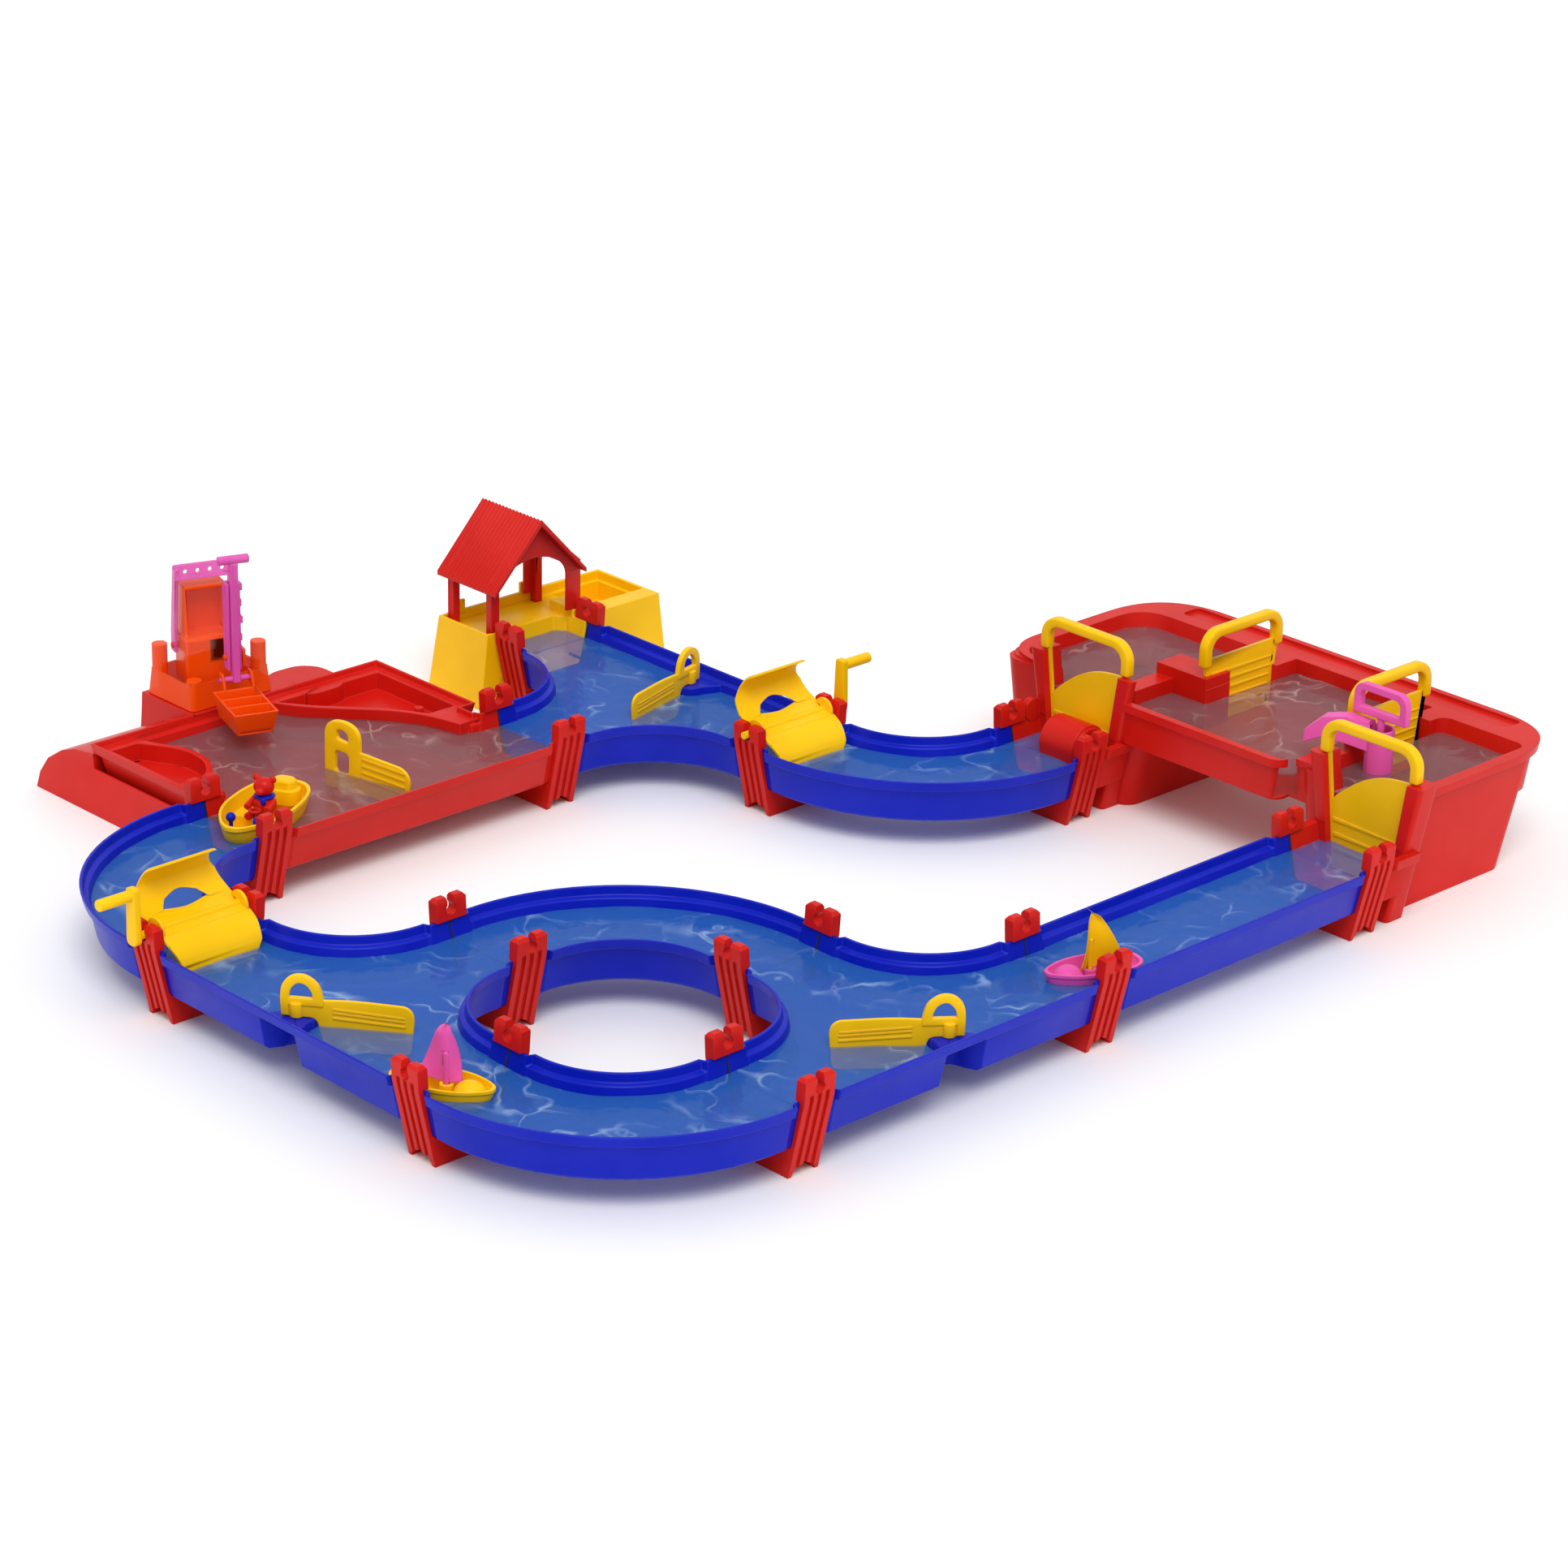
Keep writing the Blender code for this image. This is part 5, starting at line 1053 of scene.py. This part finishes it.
def make_pump():
    """Pump body with a hooded spout, and the piston with its grip."""
    x, y = PUMP
    body = rod((x, y, FLOOR + CLEAR), (x, y, 0.18), 0.017)
    d = Vector((-0.34, 0.94, 0))
    n = Vector((0.94, 0.34, 0))
    outside = ((0.0, 0.0145, 0.152, 0.184), (0.04, 0.0135, 0.158, 0.19), (0.068, 0.013, 0.16, 0.184),
               (0.09, 0.0125, 0.149, 0.164))
    inside = ((0.006, 0.01, 0.156, 0.178), (0.04, 0.0105, 0.16, 0.185),
              (0.067, 0.0102, 0.161, 0.179), (0.094, 0.01, 0.15, 0.16))
    shells = []
    for stations in (outside, inside):
        loops = []
        for s, w, lo, hi in stations:
            c = Vector((x, y, 0)) + d * s
            low, high = Vector((0, 0, lo)), Vector((0, 0, hi))
            loops.append([c - n * w + low, c + n * w + low, c + n * w * 0.7 + high, c - n * w * 0.7 + high])
        shells.append(loft(loops))
    hood, duct = shells
    add(body, hood)
    cut(body, rod((x, y, FLOOR + 0.003), (x, y, 0.2), 0.014))
    cut(body, duct)
    cut(body, box(x - 0.006, x + 0.006, y - 0.03, y, FLOOR + 0.003, 0.06))
    finish(body, "pump_body", PINK)

    piston = rod((x, y, 0.066), (x, y, 0.082), 0.0134)
    add(piston, rod((x, y, 0.07), (x, y, 0.197), 0.0045))
    f = upright(PUMP, 90)
    ring = slab(loop_outline(0.0385, 0.1925, 0.23, 0.014), f, -0.005, 0.005)
    cut(ring, slab(loop_outline(0.0295, 0.201, 0.2215, 0.008), f, -0.02, 0.02))
    add(piston, ring)
    finish(piston, "pump_piston", PINK)


# ---------------------------------------------------------------- crane

CRANE = (0.208, 1.000)
CRANE_TURN = -19         # the crane stands swivelled
DECK = 0.089
PIN_Z = 0.155
JIB_X = CRANE[0] + 0.016
JIB_Y = CRANE[1] - 0.06
HOOK_Z = 0.13


def make_crane():
    """Base, cab, lever frame, jib, lifting rod and container, laid out unturned and then swivelled."""
    cx, cy = CRANE
    turn = placed(CRANE, CRANE_TURN) @ Matrix.Translation((-cx, -cy, 0))
    base = taper((0.153, 0.274, 0.953, 1.046), (0.156, 0.271, 0.956, 1.043), DECK + CLEAR, 0.122, 0.006)
    cut(base, taper((0.157, 0.27, 0.957, 1.042), (0.159, 0.268, 0.959, 1.04),
                    DECK + CLEAR + WALL, 0.14, 0.006))
    columns = ((0.165, 1.034, 0.154), (0.262, 1.034, 0.138), (0.165, 0.965, 0.126), (0.262, 0.965, 0.154))
    for x, y, top in columns:
        add(base, rod((x, y, DECK + 0.001), (x, y, top), 0.0095))
    add(base, rod((cx, cy, DECK + 0.002), (cx, cy, 0.108), 0.022))
    cut(base, rod((cx, cy, 0.094), (cx, cy, 0.115), 0.0144))
    finish(base, "crane_base", CLEAR_ORANGE)

    # swivelling cab with a window bay above, and the bracket with the jib's pin
    cab = rod((cx, cy, 0.0945), (cx, cy, 0.12), 0.014)
    add(cab, taper((cx - 0.03, cx + 0.03, cy - 0.022, cy + 0.026),
                   (cx - 0.0301, cx + 0.0301, cy - 0.0221, cy + 0.0261), 0.1085, 0.166, 0.004))
    add(cab, taper((cx - 0.0285, cx + 0.0285, cy - 0.018, cy + 0.022),
                   (cx - 0.027, cx + 0.027, cy - 0.006, cy + 0.02), 0.164, 0.23, 0.003))
    cut(cab, box(cx - 0.024, cx + 0.024, cy - 0.018, cy + 0.016, 0.169, 0.226))
    cut(cab, box(cx - 0.021, cx + 0.021, cy - 0.03, cy + 0.000, 0.171, 0.222))
    add(cab, box(cx + 0.0262, cx + 0.0299, cy - 0.068, cy - 0.01, 0.1435, 0.1655))
    add(cab, rod((cx + 0.0275, JIB_Y, PIN_Z), (cx + 0.004, JIB_Y, PIN_Z), 0.0036))
    for side in (-1, 1):
        add(cab, rod((cx + side * 0.027, cy + 0.01, 0.152), (cx + side * 0.039, cy + 0.01, 0.152),
                     0.0036))
    finish(cab, "crane_cab", CLEAR_ORANGE, place=turn)

    # lever frame round the cab
    leg = [(cy + 0.004, 0.144), (cy + 0.018, 0.144), (cy + 0.018, 0.166), (cy + 0.004, 0.256),
           (cy - 0.008, 0.254), (cy + 0.003, 0.176)]
    legs = []
    for side in (-1, 1):
        xs = sorted((cx + side * 0.0325, cx + side * 0.037))
        part = slab(leg, END_ON, *xs)
        hole = rod((xs[0] - 0.01, cy + 0.01, 0.152), (xs[1] + 0.01, cy + 0.01, 0.152), 0.004)
        legs.append(cut(part, hole))
    section = ((-0.0085, 0.24), (-0.0035, 0.24), (0.002, 0.258), (-0.003, 0.258))
    bar = loft([[(x, cy + y, z) for y, z in section] for x in (cx - 0.0369, cx + 0.0369)])
    bar_holes = [rod((cx + k * 0.0155, cy - 0.03, 0.2495), (cx + k * 0.0155, cy + 0.03, 0.2495), 0.0027)
                 for k in (-1.5, -0.5, 0.5, 1.5)]
    cut(bar, *bar_holes)
    add(legs[0], bar, legs[1])
    finish(legs[0], "crane_frame", CLEAR_PINK, place=turn)

    # jib: open channel on the pin; the rod with its T grip slides in it
    jx, jy = JIB_X, JIB_Y
    jib = box(jx - 0.0085, jx + 0.0085, jy - 0.009, jy + 0.009, 0.14, 0.25)
    cut(jib, box(jx - 0.0052, jx + 0.0052, jy - 0.0132, jy + 0.0044, 0.13, 0.26))
    cut(jib, rod((jx - 0.02, jy, PIN_Z), (jx + 0.02, jy, PIN_Z), 0.004))
    for k, z in enumerate((0.176, 0.198, 0.22, 0.24)):
        add(jib, box(jx + 0.008, jx + 0.011 + 0.0012 * (k % 2), jy - 0.006, jy + 0.006, z, z + 0.009))
    finish(jib, "crane_jib", CLEAR_PINK, place=turn)
    ry = jy - 0.01
    lift = box(jx - 0.0046, jx + 0.0046, ry - 0.0055, ry + 0.0054, HOOK_Z - 0.004, 0.278)
    add(lift, rod((jx - 0.019, ry, 0.282), (jx + 0.019, ry, 0.282), 0.0055))
    add(lift, rod((jx - 0.0215, ry, HOOK_Z), (jx + 0.0215, ry, HOOK_Z), 0.0034))
    finish(lift, "crane_rod", CLEAR_PINK, place=turn)

    hx, hy, top = jx, ry, HOOK_Z - 0.009
    corners = ((-1, -1), (1, -1), (1, 1), (-1, 1))
    tub = loft([[(hx - 0.006 + a * w, hy - 0.054 + b * d, z) for a, b in corners]
                for z, w, d in ((top - 0.029, 0.022, 0.036), (top, 0.0275, 0.0435))])
    for k in (-1, 0, 1):
        y = hy - 0.054 + k * 0.0275
        cut(tub, loft([[(hx - 0.006 + a * w, y + b * d, z) for a, b in corners]
                       for z, w, d in ((top - 0.0265, 0.019, 0.0092), (top + 0.001, 0.025, 0.0125))]))
    for side in (-1, 1):
        xs = sorted((hx + side * 0.0165, hx + side * 0.0195))
        ear = slab([(hy - 0.0145, top - 0.004), (hy - 0.0085, top - 0.004), (hy + 0.006, top + 0.006),
                    (hy + 0.006, top + 0.018), (hy - 0.006, top + 0.018), (hy - 0.0145, top + 0.002)],
                   END_ON, *xs)
        add(tub, cut(ear, rod((xs[0] - 0.01, hy, HOOK_Z), (xs[1] + 0.01, hy, HOOK_Z), 0.0039)))
    finish(tub, "crane_container", CLEAR_ORANGE, place=turn)


# ---------------------------------------------------------------- boats

ROW, ROW_TURN = (0.042, 0.672), 206
SAIL_1, SAIL_1_TURN = (-0.243, 0.002), -64
SAIL_2, SAIL_2_TURN = (0.46, -0.241), 160
AFLOAT = 0.052           # keel of every boat above the ground


def hull_loops(length, beam, depth, z0, deck=0.0):
    """Outer and inner outlines of a hull, bow at +X."""
    t = 0.0022

    def section(z, grow, shrink):
        pts = []
        for k in range(64):
            a = 2 * math.pi * k / 64
            c, s = math.cos(a), math.sin(a)
            u = math.copysign(abs(c) ** 0.8, c) * (length / 2 - shrink) * grow
            v = math.copysign(abs(s) ** 0.75, s) * (beam / 2 - shrink) * grow
            v *= 1 - 0.45 * max(0.0, u / (length / 2)) ** 2
            pts.append((u, v, z))
        return pts
    outer = [section(z0 + depth * h, g, 0) for h, g in
             ((0, 0.62), (0.1, 0.73), (0.35, 0.86), (0.65, 0.94), (0.84, 0.965), (0.86, 1.0), (1.0, 1.0))]
    inner = [section(z0 + t + deck, 0.7, t), section(z0 + t + deck + 0.003, 0.78, t),
             section(z0 + depth * 0.6 + deck * 0.5, 0.89, t), section(z0 + depth * 0.88, 0.955, t),
             section(z0 + depth + 0.002, 0.96, t)]
    return outer, inner


def ball(centre, size):
    """Ellipsoid with the given half sizes."""
    x, y, z = size
    loops = []
    for k in range(1, 12):
        t = math.pi * k / 12
        plan = arc(0, 0, x * math.sin(t), y * math.sin(t), np.linspace(0, 2 * math.pi, 24, False))
        loops.append([Vector(centre) + Vector((u, v, -z * math.cos(t))) for u, v in plan])
    return loft(loops)


def melt(parts):
    """One smooth body from overlapping parts."""
    body = add(parts[0], *parts[1:])
    mod = body.modifiers.new("melt", "REMESH")
    mod.mode = "VOXEL"
    mod.voxel_size = 0.0009
    bake(body)
    mod = body.modifiers.new("even", "SMOOTH")
    mod.iterations = 4
    bake(body)
    return body


def make_figure(sit, place):
    """Generic toy bear in a blue scarf, seated and holding the wheel."""
    x = -0.007
    parts = [ball((x, 0, sit + 0.0125), (0.0125, 0.0145, 0.014)),
             ball((x + 0.001, 0, sit + 0.036), (0.0115, 0.0125, 0.0112)),
             ball((x + 0.0115, 0, sit + 0.033), (0.005, 0.0055, 0.0042))]
    for s in (-1, 1):
        parts += [ball((x - 0.001, s * 0.0105, sit + 0.045), (0.0035, 0.0045, 0.0045)),
                  rod((x, s * 0.012, sit + 0.0195), (x + 0.021, s * 0.0125, sit + 0.0155), 0.0042),
                  rod((x + 0.002, s * 0.008, sit + 0.005), (x + 0.0235, s * 0.011, sit + 0.0045), 0.0048)]
    finish(melt(parts), "figure", RED, place=place, bevel=0)
    scarf = [ball((x, 0, sit + 0.0245), (0.0122, 0.0132, 0.0034)),
             ball((x + 0.0118, 0.004, sit + 0.0215), (0.003, 0.0035, 0.005))]
    finish(melt(scarf), "figure", BLUE, place=place, bevel=0, name="figure_scarf")


def make_sail(name, color, z, place):
    """Two curved panels that meet at the mast."""
    loops = []
    for k in range(17):
        t = k / 16
        wide = 0.035 * (1 - t) ** 0.55 * (1 - 0.12 * t) + 0.0012
        belly = 0.013 * math.sin(math.pi * min(1.0, t + 0.15))
        line = [(0.004 - wide, belly * 0.9 + 0.004), (0.004 - wide * 0.55, belly * 0.55), (0.004, 0.0),
                (0.004 + wide * 0.24, belly * 0.35), (0.004 + wide * 0.4, belly * 0.6 + 0.003)]
        line = curve(line, 4)
        h = z + 0.0275 + 0.064 * t
        loops.append([(u, v - 0.001, h) for u, v in line] + [(u, v + 0.001, h) for u, v in line[::-1]])
    cloth = loft(loops)
    add(cloth, rod((0.004, 0, z + 0.0125), (0.004, 0, z + 0.06), 0.003))
    finish(cloth, name, color, place=place, bevel=0.0005)


def hull(length, beam, depth, z0, deck=0.0, blocks=()):
    """Open hull, solid where the blocks are, in its own frame."""
    outer, inner = hull_loops(length, beam, depth, z0, deck=deck)
    return cut(loft(outer), cut(loft(inner), *blocks))


def make_boats():
    """Row boat with its fittings and figure, and two sailing boats."""
    z = AFLOAT
    place = placed(ROW, ROW_TURN)
    bench = box(-0.0203, 0.0061, -0.05, 0.05, z, z + 0.0221)
    body = hull(0.16, 0.084, 0.04, z, blocks=[bench])
    levels = ((z + 0.0203, 0.0201), (z + 0.037, 0.019), (z + 0.0385, 0.015), (z + 0.047, 0.014),
              (z + 0.0491, 0.0115))
    mid = -0.0585
    dome = loft([[(x, y, h) for x, y in rounded(mid - w * 0.72, mid + w * 0.72, -w, w, w * 0.65)]
                 for h, w in levels])
    add(body, soften(dome, 0.0012))
    finish(body, "boat_row", YELLOW, place=place, bevel=0.0007)
    x = 0.0185
    hoop, hole = [arc(x, 0, r, r, np.linspace(0, 2 * math.pi, 32, False)) for r in (0.0075, 0.0048)]
    wheel = cut(prism(hoop, z + 0.0365, z + 0.039), prism(hole, z + 0.03, z + 0.05))
    add(wheel, box(x - 0.007, x + 0.007, -0.0011, 0.0011, z + 0.0368, z + 0.0385),
        rod((x, 0, z + 0.004), (x, 0, z + 0.038), 0.0022))
    finish(wheel, "boat_row", RED, place=place, bevel=0.0006, name="steering_hoop")
    x, r = 0.045, 0.0058
    for name, y in (("bow_knob_a", -0.017), ("bow_knob_c", 0.017)):
        knob = add(ball((x, y, z + 0.037), (r, r, r)), rod((x, y, z + 0.006), (x, y, z + 0.034), 0.0024))
        finish(knob, "boat_row", BLUE, place=place, bevel=0, name=name)
    make_figure(z + 0.0225, place)

    for name, sail, where, turn, color, sail_color in (
            ("boat_yellow", "sail_pink", SAIL_1, SAIL_1_TURN, YELLOW, PINK),
            ("boat_pink", "sail_yellow", SAIL_2, SAIL_2_TURN, PINK, YELLOW)):
        place = placed(where, turn)
        body = hull(0.115, 0.054, 0.03, z, deck=0.006)
        add(body, rod((0.004, 0, z + 0.003), (0.004, 0, z + 0.026), 0.0075))
        add(body, ball((0.03, 0, z + 0.018), (0.018, 0.017, 0.015)))
        cut(body, rod((0.004, 0, z + 0.012), (0.004, 0, z + 0.03), 0.0036))
        finish(body, name, color, place=place, bevel=0.0006)
        make_sail(sail, sail_color, z, place)


# ---------------------------------------------------------------- water

LEVEL = 0.07            # water in the canals
POOL_LEVEL = 0.128       # water in the reservoir
SKIN = 0.0016            # only the top layer of the water is shown


def ripple(x, y):
    """Height of the water's waves."""
    a = noise.noise(Vector((x * 17, y * 17, 0.3))) + 0.5 * noise.noise(Vector((x * 41, y * 41, 2.1)))
    return 0.0011 * a


def water_block(x0, x1, y0, y1, level):
    """Thin closed sheet with a rippled top."""
    cell = 0.006
    nx, ny = max(2, round((x1 - x0) / cell)), max(2, round((y1 - y0) / cell))
    verts, faces = [], []
    for top in (0, 1):
        for j in range(ny + 1):
            for i in range(nx + 1):
                x, y = x0 + (x1 - x0) * i / nx, y0 + (y1 - y0) * j / ny
                verts.append((x, y, level - SKIN + (SKIN if top else 0) + ripple(x, y)))
    base = (nx + 1) * (ny + 1)
    for j in range(ny):
        for i in range(nx):
            a = j * (nx + 1) + i
            ring = [a, a + 1, a + nx + 2, a + nx + 1]
            faces += [ring[::-1], [base + k for k in ring]]
    rim = [i for i in range(nx + 1)] + [j * (nx + 1) + nx for j in range(1, ny + 1)]
    rim += [ny * (nx + 1) + i for i in range(nx - 1, -1, -1)] + [j * (nx + 1) for j in range(ny - 1, 0, -1)]
    for k, a in enumerate(rim):
        b = rim[(k + 1) % len(rim)]
        faces.append([a, b, base + b, base + a])
    return mesh_object("water", verts, faces)


def pour(name, room, level, material, holes=()):
    """Water surface inside the given solid shape."""
    xs, ys = [v.co.x for v in room.data.vertices], [v.co.y for v in room.data.vertices]
    water = water_block(min(xs) - 0.004, max(xs) + 0.004, min(ys) - 0.004, max(ys) + 0.004, level)
    combine(water, [room], "INTERSECT")
    cut(water, *holes)
    water.data.transform(Matrix.Translation(ZERO))
    water.name = water.data.name = name
    water.data.materials.clear()
    water.data.materials.append(material)
    water.data.shade_smooth()
    water.data.set_sharp_from_angle(angle=math.radians(40))
    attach(water, "canals")


def canal_room(lines, level):
    """Solid between the wall lines in which the water surface lies."""
    return loft([wall_loop(lines, z, WALL + WATER_GAP, False) for z in (level - 0.006, level + 0.005)])


def long_room(lines, holes=()):
    """Room in a canal piece, which reaches to the seams."""
    return cut(canal_room([reach(line, END) for line in lines], LEVEL), *holes)


def in_place(obj, place):
    obj.data.transform(place)
    return obj


def pour_water():
    """Water in the canals, harbour, dock and reservoir, with room left for the boats."""
    clear = water_material("canal water", (0.04, 0.2, 0.64), (0.4, 0.62, 0.95), 0.32)
    tinted = water_material("basin water", (0.22, 0.16, 0.18), (0.66, 0.48, 0.46), 0.3)
    boats = {"row": ((0.16, 0.084, 0.04), placed(ROW, ROW_TURN)),
             "one": ((0.115, 0.054, 0.03), placed(SAIL_1, SAIL_1_TURN)),
             "two": ((0.115, 0.054, 0.03), placed(SAIL_2, SAIL_2_TURN))}
    floating = {"left_curve": "row", "harbour": "row", "ring_front": "one", "left_tee": "one",
                "right_tee": "two", "right_straight": "two"}

    def canal_water(name, room, material=clear):
        holes = []
        if name in floating:
            size, place = boats[floating[name]]
            holes.append(in_place(loft(hull_loops(*size, AFLOAT)[0]), place))
        pour("water_" + name, room, LEVEL, material, holes)

    for name, centre, turn in CURVES:
        canal_water(name, in_place(long_room(arc_walls()), placed(centre, 90 * turn)))
    for name, shift, turn in TEES:
        room = long_room(tee_walls(), [niche(NICHE_R + WATER_GAP, UNDER, 0.09, NICHE_FLARE)])
        canal_water(name, in_place(room, placed(shift, 90 * turn)))
    canal_water("right_straight", long_room(straight_walls(PITCH, -OUTER)))
    walls, solids = harbour_walls()
    canal_water("harbour", long_room(walls, solids), tinted)
    canal_water("dock", canal_room(dock_walls(2 * PITCH), LEVEL))
    for name, y in (("outlet_front", -MID), ("outlet_rear", MID)):
        canal_water(name, canal_room(straight_lines(y, 2 * PITCH, 0.939), LEVEL))

    # the surfaces stay 0.3 mm clear of the chambers' walls
    pooled = water_material("reservoir water", (0.22, 0.16, 0.18), (0.66, 0.48, 0.46), 0.3)
    lo, hi = POOL_LEVEL - 0.006, POOL_LEVEL + 0.005
    pump = rod((*PUMP, lo - 0.01), (*PUMP, hi + 0.01), 0.0172)
    front = box(0.9641, 1.193, -0.2502, -0.128, lo, hi)
    add(front, box(0.945, 0.98, -MID - 0.026, -MID + 0.0535, lo, hi))
    pour("water_front_chamber", front, POOL_LEVEL, pooled, [pump])
    rear = box(0.9645, 1.0815, 0.1925, 0.356, lo, hi)
    add(rear, box(1.06, 1.2025, 0.1315, 0.356, lo, hi),
        box(0.945, 0.98, MID - 0.0275, MID + 0.0535, lo, hi))
    pour("water_rear_chamber", rear, POOL_LEVEL, pooled)
    pool = prism([(0.9403, -0.0897), (0.9522, -0.1007), (1.2057, -0.1007), (1.2057, 0.1117),
                  (1.0377, 0.1117), (1.0377, 0.1657), (0.9522, 0.1657), (0.9403, 0.1548)], lo, hi)
    pour("water_middle_pool", pool, POOL_LEVEL, pooled)


# ---------------------------------------------------------------- setting

FLOOR_HALF = 8
DAYLIGHT = 0.75
SUN_POWER = 1.6
SUN_SIZE = 35            # degrees; a large sun gives soft shadows
SUN_FROM = (0.55, 0.75, -1.5)
CAMERA = (-3.2728, -3.51335, 2.0869)
TURN, PITCH_DOWN, ROLL = 45.8279, 22.4934, 1.4274   # heading from +X, downward pitch, roll
LENS = 102.41            # mm on a 36 mm sensor


def set_stage():
    """White floor, even daylight from all sides and one soft sun."""
    h = FLOOR_HALF
    floor = mesh_object("floor", [(-h, -h, 0), (h, -h, 0), (h, h, 0), (-h, h, 0)], [[0, 1, 2, 3]])
    floor.data.transform(Matrix.Translation((0, 0, CAD_BOX[0].z - 0.0003)))
    mat = bpy.data.materials.new("floor")
    mat.use_nodes = True
    shader = mat.node_tree.nodes["Principled BSDF"]
    shader.inputs["Base Color"].default_value = (0.93, 0.93, 0.93, 1)
    shader.inputs["Roughness"].default_value = 0.9
    floor.data.materials.append(mat)

    world = bpy.data.worlds.new("studio")
    world.use_nodes = True
    sky = world.node_tree.nodes["Background"]
    sky.inputs["Color"].default_value = (1.0, 1.0, 1.0, 1)
    sky.inputs["Strength"].default_value = DAYLIGHT
    bpy.context.scene.world = world

    sun = bpy.data.lights.new("sun", "SUN")
    sun.energy = SUN_POWER
    sun.angle = math.radians(SUN_SIZE)
    lamp = bpy.data.objects.new("sun", sun)
    lamp.rotation_euler = Vector(SUN_FROM).to_track_quat("-Z", "Y").to_euler()
    bpy.context.scene.collection.objects.link(lamp)

    view = bpy.context.scene.view_settings
    view.view_transform = "Standard"
    view.look = "None"


def set_camera():
    """Long lens that looks down at the set."""
    a, p, r = (math.radians(v) for v in (TURN, PITCH_DOWN, ROLL))
    ahead = Vector((math.cos(a) * math.cos(p), math.sin(a) * math.cos(p), -math.sin(p)))
    right = Vector((math.sin(a), -math.cos(a), 0))
    up = right.cross(ahead)
    side = math.cos(r) * right + math.sin(r) * up
    top = math.cos(r) * up - math.sin(r) * right
    data = bpy.data.cameras.new("camera")
    data.sensor_width = 36
    data.lens = LENS
    cam = bpy.data.objects.new("camera", data)
    cam.matrix_world = Matrix.Translation(CAMERA) @ Matrix((side, top, -ahead)).transposed().to_4x4()
    bpy.context.scene.collection.objects.link(cam)
    bpy.context.scene.camera = cam


# ---------------------------------------------------------------- all pieces

def keep_seals():
    """The thin seals in the joints are the CAD's own."""
    for name, obj in frame["nodes"].items():
        if name.startswith("seal_"):
            obj.data.materials.clear()
            obj.data.materials.append(PAINT[BLACK][1])


def main():
    for curve_piece in CURVES:
        make_curve(*curve_piece)
    for tee in TEES:
        make_tee(*tee)
    make_straight("right_straight", PITCH, -OUTER)
    make_harbour()
    make_dock()
    make_roof()
    make_reservoir()
    make_chute()
    for name, centre, run in SEAMS:
        make_clip("clip_" + name, seam_place(centre, run))
    keep_seals()
    gx, gy = GATE_PIVOT
    make_swing_gate("gate_left", (gx, gy), -52)
    make_swing_gate("gate_right", (PITCH - gy, gx), 142)
    make_swing_gate("gate_back", (PITCH - gx, 2 * PITCH - gy), 193)
    make_harbour_gate()
    make_wheel("wheel_left", (-MID, PITCH), "Y", 1)
    make_wheel("wheel_back", (PITCH + MID, PITCH), "Y", -1)
    # crests of the gates, as (share of the half width, height)
    scoop = curve([(1.0, 0.174), (0.4, 0.17), (-0.1, 0.158), (-0.55, 0.138), (-0.85, 0.121),
                   (-1.0, 0.101)], 6)
    level = [(1.0, 0.176), (0.9, 0.18), (-0.9, 0.18), (-1.0, 0.176)]
    for name, y in (("lock_front", -MID), ("lock_rear", MID)):
        make_lock_gate(name, (GUIDE_X, y), -90, FLOOR + 0.0006, scoop, POST_TOP + 0.0012,
                       (0.06, 0.078, 0.096))
    for name, y in (("lock_right", INNER_Y[0]), ("lock_left", INNER_Y[1])):
        make_lock_gate(name, (INNER_X, y), 0, POOL_FLOOR + 0.0006, level, 0.172,
                       [0.112 + 0.0115 * k for k in range(5)])
    make_pump()
    make_crane()
    make_boats()
    pour_water()
    set_stage()
    set_camera()


main()
